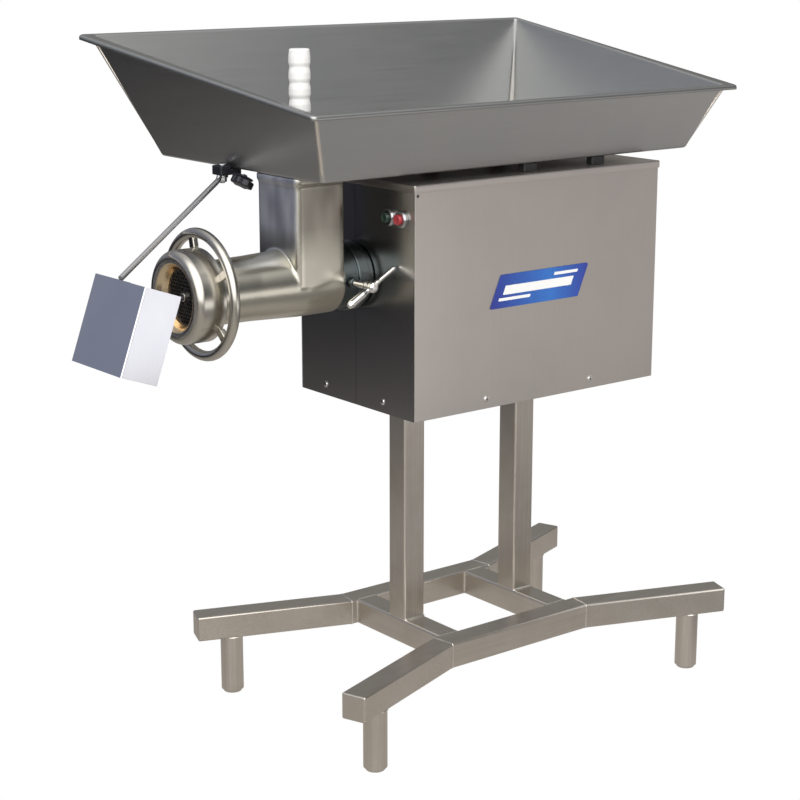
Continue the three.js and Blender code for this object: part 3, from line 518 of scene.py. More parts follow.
def screw(x, y, z, axis, sign, head=4.6):
    """A low pan-head screw with a dark cross of painted shade standing for its recess, on a face that looks
    along sign times axis.
    """
    profile = fillet([
        (0, -1.0), (head + 1.4, -1.0), (head + 1.4, 0.35, 0.2), (head, 0.5), (head - 0.6, 1.7, 0.9), (0, 2.1),
    ], closed=False)
    cap = lathe([(r, sign * h) for r, h in profile], axis, (x, y, z), steps=32)
    place = Matrix.Translation((x, y, z)) @ Matrix.Scale(sign, 4, Vector(on_axis(axis, 0, 0, 1)))
    # The recess is not cut: two thin dark bars on the head stand for it as painted shade.
    low, high, long, short = 1.95, 2.2, 4.4, 0.9
    bars = [turned(prism(centred(*size), low, high, axis), place) for size in ((long, short), (short, long))]
    return cap, bars


def build_cabinet():
    side_high = box_mm("side_panel_right")[1]
    for name, sign in (("right", 1), ("left", -1)):
        low, high = box_mm(f"side_panel_{name}")
        panel = prism(rectangle(low.y, low.z, high.y, high.z, 1.2), low.x, high.x, "X")
        piece(f"cabinet_side_{name}", soften(panel, 0.7, 3), "panel_side", "frame",
              [f"side_panel_{name}"])

    # The two front plates meet behind the head, round its opening.
    opening = 55.0
    for name, sign in (("right", 1), ("left", -1)):
        low, high = box_mm(f"front_panel_{name}")
        inner = low.x if sign > 0 else high.x
        outer = high.x if sign > 0 else low.x
        bite = math.acos(abs(inner) / opening)
        arc = [(sign * opening * math.cos(a), AXIS_Z + opening * math.sin(a))
               for a in (bite - 2 * bite * i / 40 for i in range(41))]
        outline = [(inner, high.z), *arc, (inner, low.z), (outer, low.z), (outer, high.z)]
        holes = []
        if sign > 0:
            for button in ("start_bezel", "stop_bezel"):
                b_low, b_high = box_mm(button)
                holes.append(circle((b_low.x + b_high.x) / 2, (b_low.z + b_high.z) / 2, 11.3))
        piece(f"cabinet_front_{name}", prism(outline, low.y, high.y, "Y", holes), "panel_front", "frame",
              [f"front_panel_{name}"])

    low, high = box_mm("rear_panel")
    slots = [rectangle(-75, 614 + 16 * i, 75, 621 + 16 * i, 3.4) for i in range(6)]
    gland_low, gland_high = box_mm("cable_gland")
    gland_x, gland_z = (gland_low.x + gland_high.x) / 2, (gland_low.z + gland_high.z) / 2
    rear = prism(rectangle(low.x, low.z, high.x, high.z, 1.0), low.y, high.y, "Y",
                 [*slots, circle(gland_x, gland_z, 9.4)])
    piece("cabinet_rear", rear, "panel_front", "frame", ["rear_panel"])
    gland = fillet([(5, -14), (13, -14, 1.0), (13, -3), (9, -3), (9, 0.3), (13, 0.3, 0.6), (13, 8, 2.0),
                    (10, 20, 1.5), (5, 20)])
    piece("cord_gland", lathe([(r, gland_low.y + 14 + h) for r, h in gland], "Y", (gland_x, 0, gland_z), 48),
          "black", "frame", ["cable_gland"])

    # Lid: a turned-down tray.
    low, high = box_mm("lid")
    lid = prism(rectangle(low.x, low.y, high.x, high.y, 3.0), low.z, high.z)
    bmesh.ops.recalc_face_normals(lid, faces=lid.faces)
    under = [f for f in lid.faces if f.normal.z < -0.9]
    bmesh.ops.delete(lid, geom=under, context="FACES_ONLY")
    top_edges = [e for e in lid.edges if all(v.co.z > high.z - 0.1 for v in e.verts)]
    bmesh.ops.bevel(lid, geom=top_edges, offset=1.8, segments=4, profile=0.5, affect="EDGES")
    piece("cabinet_lid", lid, "panel_lid", "frame", ["lid"], shell=SHEET, closed=False)

    caps, recess_shade_bars = [], []
    places = [(side_high.x, y, 571, "X", 1) for y in (154, 392)] + [(x, 0, 573, "Y", -1) for x in (-87, 73)]
    places += [(-side_high.x, y, 571, "X", -1) for y in (154, 392)]
    places += [(x, side_high.y, 573, "Y", 1) for x in (-87, 87)]
    for place in places:
        cap, bars = screw(*place)
        caps.append(cap)
        recess_shade_bars += bars
    piece("panel_screws", joined(*caps), "chrome", "frame")
    # Dark bars of painted shade where the screws' cross recesses would be.
    piece("panel_screw_recess_shade", joined(*recess_shade_bars), "dark_plate", "frame")
    rivet = fillet([(0, -1), (2.6, -1), (2.6, 0.4, 0.5), (1.4, 1.2, 0.6), (0, 1.3)], closed=False)
    piece("lid_rivet", lathe([(r, h) for r, h in rivet], "X", (side_high.x, 6.0, 924.0), 24), "dark_plate",
          "frame")

    low, high = box_mm("badge")
    leaning = [(158, 722, 3), (357, 722, 3), (381, 778, 3), (182, 778, 3)]
    plate = soften(prism(fillet(leaning), low.x, high.x, "X"), 0.35, 2, 60)
    piece("side_badge", plate, "badge", "frame", ["badge"])
    bars = []
    for start, end, bottom, height in ((186, 340, 744, 15), (176, 246, 734, 5), (300, 354, 765, 5)):
        lean = height * (381 - 357) / (778 - 722)
        bar = fillet([(start, bottom, 1), (end, bottom, 1), (end + lean, bottom + height, 1),
                      (start + lean, bottom + height, 1)])
        bars.append(prism(bar, high.x - 0.2, high.x + 0.25, "X"))
    piece("side_badge_bars", joined(*bars), "white", "frame")

    for node in ("front_right", "front_left", "rear_right", "rear_left"):
        low, high = box_mm(f"pan_spacer_{node}")
        foot = prism(rectangle(low.x, low.y, high.x, high.y, 2.5), low.z, high.z)
        piece(f"pan_rest_{node}", soften(foot, 0.8, 2, 60), "rubber", "frame",
              [f"pan_spacer_{node}"])


def build_buttons():
    for name, colour in (("stop", "red"), ("start", "green")):
        low, high = box_mm(f"{name}_bezel")
        centre = ((low.x + high.x) / 2, 0, (low.z + high.z) / 2)
        bezel = fillet([(8.7, -8, 0.4), (12.5, -8, 1.2), (14.5, -5, 0.8), (14.5, -0.3, 0.3), (11, -0.3),
                        (11, 10), (8.7, 10)])
        piece(f"{name}_button_ring", lathe(bezel, "Y", centre, 64), "bezel", "frame",
              [f"{name}_bezel"])
        front = box_mm(f"{name}_cap")[0].y
        cap = fillet([(0, front + 1.6), (5.5, front + 0.6, 2.0), (7.4, front, 1.0), (8.3, front + 1.5, 0.8),
                      (8.3, 9), (0, 9)], closed=False)
        piece(f"{name}_button", lathe(cap, "Y", centre, 48), colour, f"{name}_button",
              [f"{name}_cap"])


# ---- grinding head ------------------------------------------------------------------------------

def built(mesh_name, shape):
    """A shape as a plain mesh object, for modifiers."""
    bmesh.ops.recalc_face_normals(shape, faces=shape.faces)
    mesh = bpy.data.meshes.new(mesh_name)
    shape.to_mesh(mesh)
    shape.free()
    thing = bpy.data.objects.new(mesh_name, mesh)
    bpy.context.scene.collection.objects.link(thing)
    return thing


def blended(shapes, cuts, voxel, rounds):
    """Overlapping shapes grown together with soft fillets, then bored out by sharp cuts."""
    thing = built("casting", joined(*shapes))
    remesh = thing.modifiers.new("remesh", "REMESH")
    remesh.mode = "VOXEL"
    remesh.voxel_size = voxel
    relax = thing.modifiers.new("relax", "SMOOTH")
    relax.factor = 0.5
    relax.iterations = rounds
    helpers = [built("tool", shape) for shape in cuts]
    for helper in helpers:
        modifier = thing.modifiers.new("bore", "BOOLEAN")
        modifier.operation = "DIFFERENCE"
        modifier.solver = "EXACT"
        modifier.object = helper
    graph = bpy.context.evaluated_depsgraph_get()
    mesh = bpy.data.meshes.new_from_object(thing.evaluated_get(graph))
    shape = bmesh.new()
    shape.from_mesh(mesh)
    for helper in [thing, *helpers]:
        bpy.data.objects.remove(helper)
    return shape


def casting():
    """The housing with the fillets of a casting: joined, remeshed and smoothed."""
    axis = (0.0, 0.0, AXIS_Z)
    top = box_mm("head_housing")[1].z
    body = lathe(fillet([
        (0, -328), (56, -328), (58, -326), (58, -300), (51.5, -295), (52.5, -220, 60.0), (56.6, -130, 60.0),
        (56.6, -60.3), (43.7, -60.3), (43.7, -8), (0, -8),
    ], closed=False), "Y", axis, 96)

    def upright(extra, low, high):
        width, depth = NECK["width"] + 2 * extra, NECK["depth"] + 2 * extra
        return turned(prism(centred(width, depth, NECK["corner"] + extra), low, high), over_neck)

    over_neck = Matrix.Translation((0, NECK["y"], 0))
    throat_outline = centred(THROAT["width"], THROAT["depth"], THROAT["corner"])
    throat = turned(prism(throat_outline, AXIS_Z, top + 5), over_neck)
    bore = lathe([(0, -350), (42, -350), (42, -80), (0, -80)], "Y", axis, 64)
    seat = lathe([(0, -350), (50, -350), (50, -302), (0, -302)], "Y", axis, 64)
    bush = lathe([(0, -90), (20.5, -90), (20.5, 0), (0, 0)], "Y", axis, 48)
    shapes = [body, upright(0, AXIS_Z, top), upright(NECK["rim"], top - NECK["rim_height"], top)]
    return blended(shapes, [throat, bore, seat, bush], voxel=1.8, rounds=14)


def build_head():
    axis = (0.0, 0.0, AXIS_Z)
    piece("head_casting", casting(), "cast", "frame", ["head_housing"], smooth=45)

    sleeve = fillet([
        (44, -60), (53.5, -60, 1.0), (53.5, -34, 1.0), (57.5, -34, 2.5), (57.5, -12, 2.5), (52, -12, 1.0),
        (52, 2.6, 1.0), (72, 2.6), (72, 7.7), (44, 7.7),
    ])
    clamp_low, clamp_high = box_mm("clamp_screw")
    clamp_y, clamp_z = (clamp_low.y + clamp_high.y) / 2, (clamp_low.z + clamp_high.z) / 2
    boss = fillet([(0, 46), (9, 46), (9, 66, 1.5), (6.6, 66), (6.6, 56), (0, 56)], closed=False)
    piece("head_collar", joined(lathe(sleeve, "Y", axis, 128), lathe(boss, "X", (0, clamp_y, clamp_z), 48)),
          "collar", "frame", ["adapter_collar"])

    nut = fillet([
        (43.5, -332.3), (44.2, -336, 4.0), (48.5, -345.5, 12.0), (54, -352.5, 6.0), (61, -354, 4.0),
        (74.5, -354, 13.0), (74.5, -301, 2.2), (58.4, -301), (58.4, -332.3),
    ], steps=10)
    shape = lathe(nut, "Y", axis, 160)
    # Faces inside the nut's mouth get the golden painted reflection.
    for face in shape.faces:
        middle = face.calc_center_median() - Vector(axis)
        face.material_index = 1 if middle.y < -333 and math.hypot(middle.x, middle.z) < 55 else 0
    outlet = piece("outlet_nut", shape, "polished", "ring_nut", ["ring_nut"])
    outlet.data.materials.append(MATERIALS["nut_bore_painted_reflection"])

    radius, round_radius, wheel_y, wheel_spokes = 97.2, 8.3, -303.0, 5
    ring = [(a, wheel_y, b) for a, b in circle(0, AXIS_Z, radius, 128)]
    spokes = []
    for i in range(wheel_spokes):
        spoke = soften(prism(rectangle(-7, wheel_y - 5, 7, wheel_y + 5), 73.5, radius - 3), 2.2, 3)
        angle = math.radians(-12) + 2 * math.pi * i / wheel_spokes
        spokes.append(turned(spoke, Matrix.Translation(axis) @ Matrix.Rotation(angle, 4, "Y")))
    piece("nut_handwheel", joined(tube(ring, round_radius, 24, closed=True), *spokes), "polished", "ring_nut",
          ["handwheel"])

    # Plate: staggered small holes round the worm's pin.
    plate_low, plate_high = box_mm("hole_plate")
    pitch, hole = 6.6, 2.2
    holes = [circle(0, AXIS_Z, 7.3, 32)]
    for row in range(-7, 8):
        for column in range(-8, 9):
            x = pitch * (column + 0.5 * (row % 2))
            z = pitch * row * math.sqrt(3) / 2
            if 11.5 < math.hypot(x, z) < 42.0:
                holes.append(circle(x, AXIS_Z + z, hole, 10))
    plate = prism(circle(0, AXIS_Z, 49.2, 96), plate_low.y, plate_high.y, "Y", holes)
    piece("grinding_plate", plate, "dark_plate", "frame", ["hole_plate"])
    piece("worm_screw", worm_shape(), "polished", "worm", ["worm"])

    # Clamp screw with a knobbly hub, and the bar that is thicker at its lower end.
    hub = fillet([
        (0, 44.2), (6, 44.2, 0.8), (6, 95, 1.0), (8, 97, 1.0), (9.5, 101, 2.5), (8.4, 106, 2.0),
        (9.5, 111, 2.5), (8.6, 117, 2.0), (4.5, 119.4, 2.0), (0, 119.5),
    ], closed=False)
    piece("clamp_hub", lathe(hub, "X", (0, clamp_y, clamp_z), 64), "chrome", "clamp",
          ["clamp_screw"])
    bar = fillet([
        (0, -54), (4.5, -53, 2.0), (7, -46, 3.0), (6.4, -20, 2.0), (4.7, -13, 1.0), (4.7, 13, 1.0),
        (3.8, 18, 2.0), (3.8, 46, 2.0), (4.2, 50, 1.5), (2.5, 53.4, 1.0), (0, 54),
    ], closed=False)
    tilt = Matrix.Translation((110, clamp_y, clamp_z)) @ Matrix.Rotation(math.radians(30), 4, "X")
    piece("clamp_bar", turned(lathe(bar, "Y", steps=48), tilt), "chrome", "clamp",
          ["tommy_bar"])


def worm_shape():
    """One flight twisted along a stout root, with the knife's square, the plate's pin and a driving tang."""
    start, end, turns = -300.0, -84.0, 3.0
    root, rim, half_flight = 19.0, 41.0, 0.3
    around, along = 72, 150
    bm = bmesh.new()
    rings = []
    for j in range(along + 1):
        y = start + (end - start) * j / along
        twist = 2 * math.pi * turns * (j / along)
        ring = []
        for i in range(around):
            angle = 2 * math.pi * i / around
            off = abs(math.remainder(angle, 2 * math.pi)) / half_flight
            height = 1.0 if off < 0.6 else max(0.0, 1 - (off - 0.6) / 0.8)
            radius = root + (rim - root) * height * height * (3 - 2 * height)
            ring.append(bm.verts.new((radius * math.cos(angle + twist), y,
                                      AXIS_Z + radius * math.sin(angle + twist))))
        rings.append(ring)
    for a, b in zip(rings, rings[1:]):
        for i in range(around):
            bm.faces.new((a[i - 1], a[i], b[i], b[i - 1]))
    bm.faces.new(rings[0])
    bm.faces.new(rings[-1])
    axis = (0, 0, AXIS_Z)
    pin = lathe(fillet([(0, -337), (7, -337, 1.2), (7, -320), (0, -320)], closed=False), "Y", axis, 48)
    journal = lathe([(0, -84.5), (20, -84.5), (20, -7), (0, -7)], "Y", axis, 64)
    knife_square = soften(prism(rectangle(-11, AXIS_Z - 11, 11, AXIS_Z + 11), -321, -299, "Y"), 1.0, 2)
    tang = soften(prism(rectangle(-12, AXIS_Z - 12, 12, AXIS_Z + 12), -8, 14, "Y"), 1.0, 2)
    return joined(bm, pin, journal, knife_square, tang)


# ---- feed pan, guard and stomper ----------------------------------------------------------------

def pan_corners():
    """(floor corner, rim corner) of the pan's four corners, going round, at the sheet's outer face."""
    rises = {PAN["x1"]: PAN["rise_right"], PAN["x0"]: PAN["rise_left"]}
    corners = []
    for x, y, sx, sy in ((PAN["x1"], PAN["y0"], 1, -1), (PAN["x1"], PAN["y1"], 1, 1),
                         (PAN["x0"], PAN["y1"], -1, 1), (PAN["x0"], PAN["y0"], -1, -1)):
        out = PAN["slope"] * rises[x]
        corners.append((Vector((x, y, PAN["z"])), Vector((x + sx * out, y + sy * out, PAN["z"] + rises[x])),
                        sx, sy))
    return corners


def pan_loop(share, out, up, corner, steps=5):
    """A ring round the pan, share of the way up its walls, pushed outward and up, with rounded corners."""
    rim_span = PAN["x1"] - PAN["x0"] + PAN["slope"] * (PAN["rise_right"] + PAN["rise_left"])
    tilt = (PAN["rise_right"] - PAN["rise_left"]) / rim_span
    ring = []
    for foot, rim, sx, sy in pan_corners():
        point = foot.lerp(rim, share) + Vector((sx * out, sy * out, up))
        centre = point - Vector((sx * corner, sy * corner, 0))
        angles = [math.pi / 2 * k / steps for k in range(steps + 1)]
        arc = [(sx * corner * math.cos(a), sy * corner * math.sin(a)) for a in angles]
        if sx * sy < 0:
            arc.reverse()
        for dx, dy in arc:
            x, y = centre.x + dx, centre.y + dy
            ring.append(Vector((x, y, point.z + share * tilt * (x - point.x))))
    return ring


def build_pan():
    slant = math.atan(PAN["slope"])
    unit = Vector((math.sin(slant), math.cos(slant)))
    rings = []
    # Bend between floor and wall, the wall, the bend over the rim, and the lip turned down.
    fold, bend, over, corner = math.pi / 2 - slant, 6.0, 3.5, 7.0
    for k in range(5):
        turn = fold * k / 4
        rings.append((0.0, -bend * math.tan(fold / 2) + bend * math.sin(turn), bend - bend * math.cos(turn)))
    rings += [(share, 0.0, 0.0) for share in (0.12, 0.3, 0.5, 0.7, 0.88)]
    reach = over * math.tan(fold / 2) + SHEET / math.cos(slant)
    for k in range(6):
        turn = fold * k / 5
        start = -reach * unit
        centre = start + over * Vector((unit.y, -unit.x))
        spot = centre + over * Vector((-math.cos(slant + turn), math.sin(slant + turn)))
        rings.append((1.0, spot.x, spot.y))
    lip, edge = PAN["lip"] - SHEET, 2.5
    for k in range(6):
        turn = math.pi / 2 * k / 5
        rings.append((1.0, lip - edge + edge * math.sin(turn), -SHEET - edge + edge * math.cos(turn)))
    rings.append((1.0, lip, -PAN["drop"]))

    bm = bmesh.new()
    loops = [[bm.verts.new(p) for p in pan_loop(share, out, up, corner)] for share, out, up in rings]
    for a, b in zip(loops, loops[1:]):
        for i in range(len(a)):
            bm.faces.new((a[i - 1], a[i], b[i], b[i - 1]))
    throat = rectangle(-THROAT["width"] / 2, NECK["y"] - THROAT["depth"] / 2, THROAT["width"] / 2,
                       NECK["y"] + THROAT["depth"] / 2, THROAT["corner"])
    hole = [bm.verts.new((x, y, PAN["z"])) for x, y in throat]
    edges = [bm.edges.new((hole[i - 1], hole[i])) for i in range(len(hole))]
    edges += [bm.edges.get((loops[0][i - 1], loops[0][i])) for i in range(len(loops[0]))]
    bmesh.ops.triangle_fill(bm, use_beauty=True, use_dissolve=False, edges=edges)
    bmesh.ops.recalc_face_normals(bm, faces=bm.faces)
    floor_faces = [f for f in bm.faces if abs(f.normal.z) > 0.99 and f.calc_center_median().z < PAN["z"] + 1]
    if floor_faces[0].normal.z > 0:
        bmesh.ops.reverse_faces(bm, faces=bm.faces)
    for face in bm.faces:
        face.material_index = 1 if abs(face.normal.y) > abs(face.normal.x) + 0.05 else 0
    pan = piece("pan_sheet", bm, "pan_y", "pan", ["feed_pan"], smooth=28, shell=SHEET,
                closed=False)
    # The sheet's inner shell takes the darkened copies: painted shade inside the pan.
    for name in ("pan_x", "pan_inside_shade_y", "pan_inside_shade_x"):
        pan.data.materials.append(MATERIALS[name])
    pan.modifiers["sheet"].material_offset = 2

    # Ground weld seams inside and outside the four corners.
    # The inner seams wear the pan's darkened inside steel, which is painted shade.
    for name, material, back, radius, low in (
        ("outer", "seam", 2.4, 3.0, 6), ("inner", "pan_inside_shade_x", 5.2, 1.6, 8),
    ):
        seams = []
        for foot, rim, sx, sy in pan_corners():
            inward = Vector((sx * back, sy * back, 0))
            seam = line(foot - inward + Vector((0, 0, low)), rim - inward - Vector((0, 0, 5)), 20.0)
            seams.append(tube(seam, radius, 12))
        piece(f"pan_{name}_seams", joined(*seams), material, "pan")


def build_guard():
    pivot = Vector((-122.0, -179.0))
    knob = Vector((-84.0, -166.0, 935.0))
    lean = Matrix.Translation(knob) @ Matrix.Rotation(math.radians(-30), 4, "X")
    base = box_mm("guard_rod")[1].z + 0.3
    left, right = pivot.x - 14, pivot.x + 14
    hook_top = PAN["z"] + 5
    tongue = prism(rectangle(right - 1 - knob.x, -12, 12, 12, 4), 7, 10.5)
    block = joined(
        soften(prism(rectangle(left, -191, right, -150, 3), base, PAN["z"] - 0.3), 1.2, 3, 60),
        soften(prism(rectangle(left, -191, right, -170.4, 3), PAN["z"] - 3, hook_top), 1.2, 3, 60),
        turned(soften(tongue, 0.8, 2, 60), lean),
    )
    piece("guard_hinge_block", block, "black", "pan", ["guard_block"])

    bolt_low, bolt_high = box_mm("guard_bolt")
    shank = lathe(fillet([
        (0, bolt_low.z), (4, bolt_low.z, 0.6), (4, hook_top + 0.3), (7.5, hook_top + 0.3, 0.4),
        (7.5, hook_top + 3.4, 2.0), (0, bolt_high.z),
    ], closed=False), centre=(pivot.x, pivot.y, 0), steps=48)
    nut_top = base - 0.3 - 4.5 - 0.3
    nut = soften(prism(circle(pivot.x, pivot.y, 7.5, 6), nut_top - 6.7, nut_top), 0.7, 2, 50)
    piece("guard_pivot_bolt", joined(shank, nut), "bezel", "pan", ["guard_bolt"])

    # Rod with an eye round the bolt.
    eye_top, eye_bottom = base - 0.3, base - 4.8
    eye = lathe(fillet([
        (4.4, eye_bottom, 0.5), (9.5, eye_bottom, 1.2), (9.5, eye_top, 1.2), (4.4, eye_top, 0.5),
    ]), centre=(pivot.x, pivot.y, 0), steps=48)
    start = Vector((pivot.x, pivot.y, (eye_top + eye_bottom) / 2))
    end = Vector((-11, -438.5, 818))
    along = (end - start).normalized()
    flat = Vector((along.x, along.y, 0)).normalized()
    stem = tube([start + flat * 7.5, start + flat * 9.5, start + along * 14, end], 4.6, 24)
    piece("guard_arm", joined(eye, stem), "rod", "guard", ["guard_rod"])

    # Bent plate with rounded folds: a leaning front and two wings behind it.
    width, height, wing, fold, tilt = 152.0, 141.0, 66.0, 3.0, math.radians(-19.8)
    channel = fillet([(-width / 2, wing), (-width / 2, 0, fold), (width / 2, 0, fold), (width / 2, wing)],
                     closed=False)
    bm = bmesh.new()
    top = [bm.verts.new((x, y, 0)) for x, y in channel]
    bottom = [bm.verts.new((x, y, -height)) for x, y in channel]
    for i in range(1, len(top)):
        bm.faces.new((bottom[i - 1], bottom[i], top[i], top[i - 1]))
    turned(bm, Matrix.Translation((end.x, -440.5, 816)) @ Matrix.Rotation(tilt, 4, "X"))
    piece("guard_sheet", bm, "guard", "guard", ["guard_plate"], shell=SHEET, closed=False)

    lobes = []
    for i in range(96):
        angle = 2 * math.pi * i / 96
        reach = 17 + 2 * math.cos(6 * angle)
        lobes.append((reach * math.cos(angle), reach * math.sin(angle)))
    grip = soften(prism(lobes, -6, 6), 2.5, 4, 60)
    neck = lathe([(0, 5), (8, 5), (8, 6.7), (0, 6.7)], steps=48)
    stud = lathe([(0, 5), (3.5, 5), (3.5, 13.5), (0, 13.5)], steps=32)
    piece("clamp_knob", turned(joined(grip, neck, stud), lean), "black", "knob",
          ["guard_knob"])


def build_stomper():
    low, high = box_mm("stomper")
    profile = [
        (0, low.z), (26, low.z, 2.0), (29, low.z + 4, 2.0), (29, low.z + 80, 6.0), (16, low.z + 95, 6.0),
        (16, 1018, 2.0),
    ]
    for i in range(5):
        z = 1020 + 25 * i
        profile += [(15.8, z + 3, 3.0), (17.5, z + 9, 4.0), (17.5, z + 19, 3.0)]
    profile += [(16.4, high.z - 2.0, 1.5), (15.3, high.z, 1.0), (0, high.z)]
    piece("meat_stomper", lathe(fillet(profile, closed=False, steps=6), centre=(0, NECK["y"], 0), steps=64),
          "white", "stomper", ["stomper"], smooth=50)


# ---- badge, and the nodes that keep their CAD shape ---------------------------------------------

def badge_material():
    """Deep blue enamel that lightens towards the middle of the plate."""
    tree, shader = new_material("badge")
    low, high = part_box("badge")
    place = axes_of(tree, tree.nodes.new("ShaderNodeTexCoord").outputs["Object"])
    ramp = tree.nodes.new("ShaderNodeValToRGB")
    tree.links.new(ranged(tree, place["Y"], 0.0, 1.0, low.y, high.y), ramp.inputs["Fac"])
    stops = ramp.color_ramp.elements
    stops[0].color = (0.012, 0.02, 0.25, 1)
    stops[1].color = (0.015, 0.03, 0.30, 1)
    bright = stops.new(0.6)
    bright.color = (0.02, 0.16, 0.55, 1)
    speckle = stretched_noise(tree, (60.0, 60.0, 60.0))
    tree.links.new(mixed(tree, ranged(tree, speckle, 0.0, 0.15), ramp.outputs["Color"], (0.02, 0.05, 0.35)),
                   shader.inputs["Base Color"])
    tree.links.new(ranged(tree, speckle, 0.22, 0.32), shader.inputs["Roughness"])
    shader.inputs["Coat Weight"].default_value = 0.4


badge_material()

KEPT = {
    "machined": ["base_tray", "knife", "output_gear", "output_shaft", "intermediate_shaft",
                 "intermediate_gear", "motor_rotor", "motor_saddle"],
    "chrome": ["output_bearing_front", "output_bearing_rear", "intermediate_bearing_front",
               "intermediate_bearing_rear"],
    "gearbox_iron": ["gearbox_case", "gearbox_cover"],
    "motor_paint": ["motor_shell", "motor_fan_cover"],
    "black": ["switch_block", "motor_starter", "motor_fan"],
}


def finish_kept_nodes():
    """Gives each node that keeps its CAD shape a material, and its edges a small round."""
    for material, names in KEPT.items():
        for name in names:
            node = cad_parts[name]
            node.data.materials.clear()
            node.data.materials.append(MATERIALS[material])
            weld = node.modifiers.new("weld", "WELD")
            weld.merge_threshold = 1e-5
            bevel = node.modifiers.new("bevel", "BEVEL")
            bevel.width = 0.4 * MM
            bevel.segments = 2
            bevel.limit_method = "ANGLE"
            bevel.angle_limit = math.radians(40)


# ---- studio -------------------------------------------------------------------------------------

SWEEP = (0.786, 0.618, 0.0)      # from the dark side of the studio to its bright side
LAMP_SIDE = (0.62, -0.48, 0.62)  # towards the big lamp


def colour_ramp(tree, value, stops):
    """A smooth ramp over stops of (place, colour)."""
    ramp = tree.nodes.new("ShaderNodeValToRGB")
    ramp.color_ramp.interpolation = "EASE"
    elements = ramp.color_ramp.elements
    while len(elements) < len(stops):
        elements.new(0.5)
    for element, (place, colour) in zip(elements, stops):
        element.position = place
        element.color = (*colour, 1.0)
    tree.links.new(value, ramp.inputs["Fac"])
    return ramp.outputs["Color"]


def along(tree, coordinates, direction):
    """How far coordinates reach along a direction."""
    dot = tree.nodes.new("ShaderNodeVectorMath")
    dot.operation = "DOT_PRODUCT"
    dot.inputs[1].default_value = direction
    tree.links.new(coordinates, dot.inputs[0])
    return dot.outputs["Value"]


def white_to_camera(tree, colour, shader, socket, output):
    """White where the camera looks at it directly, and a colour for reflections and light."""
    choose = tree.nodes.new("ShaderNodeMixShader")
    rays = tree.nodes.new("ShaderNodeLightPath")
    tree.links.new(rays.outputs["Is Camera Ray"], choose.inputs["Fac"])
    toned, white = (tree.nodes.new(shader) for _ in range(2))
    tree.links.new(colour, toned.inputs["Color"])
    white.inputs["Color"].default_value = (1, 1, 1, 1)
    for slot, node in ((1, toned), (2, white)):
        tree.links.new(node.outputs[socket], choose.inputs[slot])
    tree.links.new(choose.outputs["Shader"], tree.nodes.new(output).inputs["Surface"])


def build_world():
    """White behind the object, and a soft grey room with a big lamp in its reflections."""
    world = bpy.data.worlds.new("studio")
    bpy.context.scene.world = world
    world.use_nodes = True
    tree = world.node_tree
    tree.nodes.clear()
    place = tree.nodes.new("ShaderNodeTexCoord").outputs["Generated"]
    up = axes_of(tree, place)["Z"]
    side = ranged(tree, along(tree, place, SWEEP), 0.0, 1.0, -1.0, 1.0)
    lower = colour_ramp(tree, side, [
        (0.0, (0.045, 0.042, 0.04)), (0.3, (0.16, 0.15, 0.145)), (0.75, (0.36, 0.34, 0.33)),
        (1.0, (0.58, 0.55, 0.53)),
    ])
    upper = colour_ramp(tree, side, [
        (0.0, (0.28, 0.30, 0.375)), (0.4, (0.24, 0.235, 0.225)), (0.8, (0.15, 0.155, 0.155)),
        (1.0, (0.08, 0.085, 0.09)),
    ])
    walls = mixed(tree, ranged(tree, up, 0.0, 1.0, -0.08, 0.1), lower, upper)
    ceiling = mixed(tree, ranged(tree, up, 0.0, 1.0, 0.45, 0.95), walls, (0.75, 0.75, 0.76))
    lamp = ranged(tree, along(tree, place, LAMP_SIDE), 0.0, 1.0, 0.5, 0.85)
    studio = mixed(tree, lamp, ceiling, (2.6, 2.57, 2.52))
    white_to_camera(tree, studio, "ShaderNodeBackground", "Background", "ShaderNodeOutputWorld")


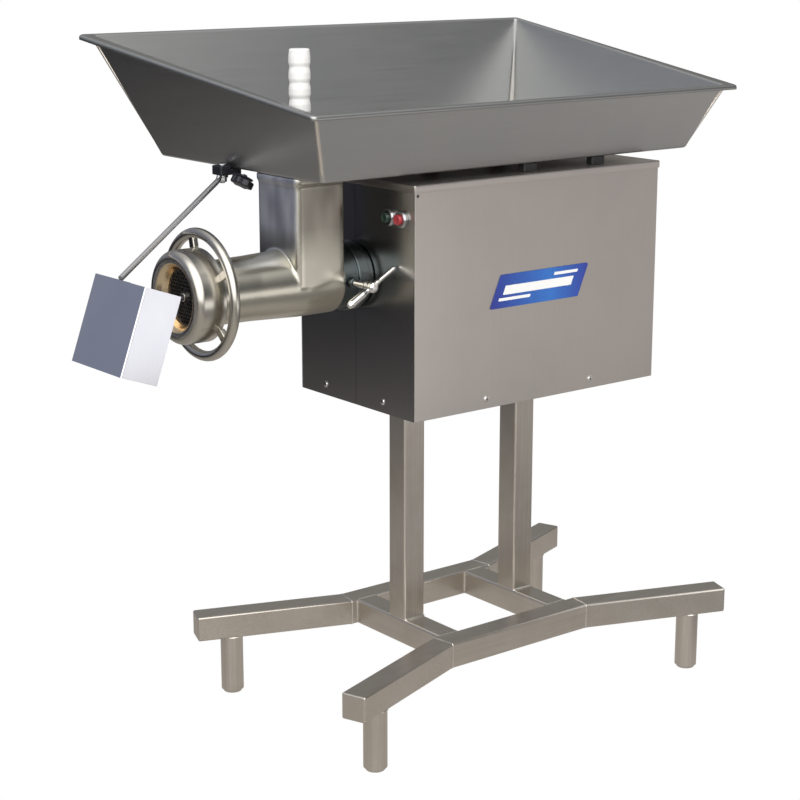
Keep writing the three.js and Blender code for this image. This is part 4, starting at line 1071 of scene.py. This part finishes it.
def build_floor():
    """A floor that looks white. Reflections see it as light and dark bands across the studio."""
    bm = bmesh.new()
    bmesh.ops.create_grid(bm, x_segments=8, y_segments=8, size=9.0)
    mesh = bpy.data.meshes.new("floor")
    bm.to_mesh(mesh)
    bm.free()
    floor = bpy.data.objects.new("floor", mesh)
    floor.location = (0, 0, -0.001)
    bpy.context.scene.collection.objects.link(floor)
    material = bpy.data.materials.new("floor")
    material.use_nodes = True
    tree = material.node_tree
    tree.nodes.clear()
    place = tree.nodes.new("ShaderNodeTexCoord").outputs["Object"]
    reach = 5.0
    side = ranged(tree, along(tree, place, SWEEP), 0.0, 1.0, -reach, reach)
    tone = colour_ramp(tree, side, [
        (0.14, (0.012, 0.013, 0.02)), (0.28, (0.08, 0.075, 0.072)), (0.35, (0.26, 0.25, 0.24)),
        (0.41, (0.38, 0.36, 0.335)), (0.50, (0.51, 0.48, 0.445)), (0.55, (0.51, 0.48, 0.445)),
        (0.60, (0.30, 0.29, 0.28)), (0.64, (0.30, 0.29, 0.28)), (0.70, (0.44, 0.42, 0.40)),
        (0.8, (0.60, 0.57, 0.55)),
    ])
    white_to_camera(tree, tone, "ShaderNodeEmission", "Emission", "ShaderNodeOutputMaterial")
    mesh.materials.append(material)


def soft_box(name, place, target, width, height, power, colour=(1, 1, 1)):
    """A rectangular light at place that faces target, hidden from the camera."""
    data = bpy.data.lights.new(name, "AREA")
    data.shape = "RECTANGLE"
    data.size, data.size_y = width, height
    data.energy = power
    data.color = colour
    light = bpy.data.objects.new(name, data)
    light.location = place
    light.rotation_mode = "QUATERNION"
    light.rotation_quaternion = (Vector(target) - Vector(place)).to_track_quat("-Z", "Y")
    light.visible_camera = False
    bpy.context.scene.collection.objects.link(light)


def build_lights():
    soft_box("guard_fill", (2.1, 0.6, 0.25), (0.15, -0.53, 0.73), 0.8, 0.7, 1.7)


def build_camera():
    azimuth, elevation = math.radians(51.845), math.radians(14.013)
    data = bpy.data.cameras.new("camera")
    data.lens = 85.7
    data.sensor_width = 36.0
    data.clip_end = 100.0
    camera = bpy.data.objects.new("camera", data)
    camera.location = (2.59114, -1.99474, 1.34105)
    camera.rotation_euler = (math.pi / 2 - elevation, 0.0, azimuth)
    bpy.context.scene.collection.objects.link(camera)
    bpy.context.scene.camera = camera


build_camera()
build_world()
build_floor()
build_lights()
build_stand()
build_cabinet()
build_buttons()
build_head()
build_pan()
build_guard()
build_stomper()
finish_kept_nodes()

view = bpy.context.scene.view_settings
view.view_transform = "Standard"
view.look = "None"
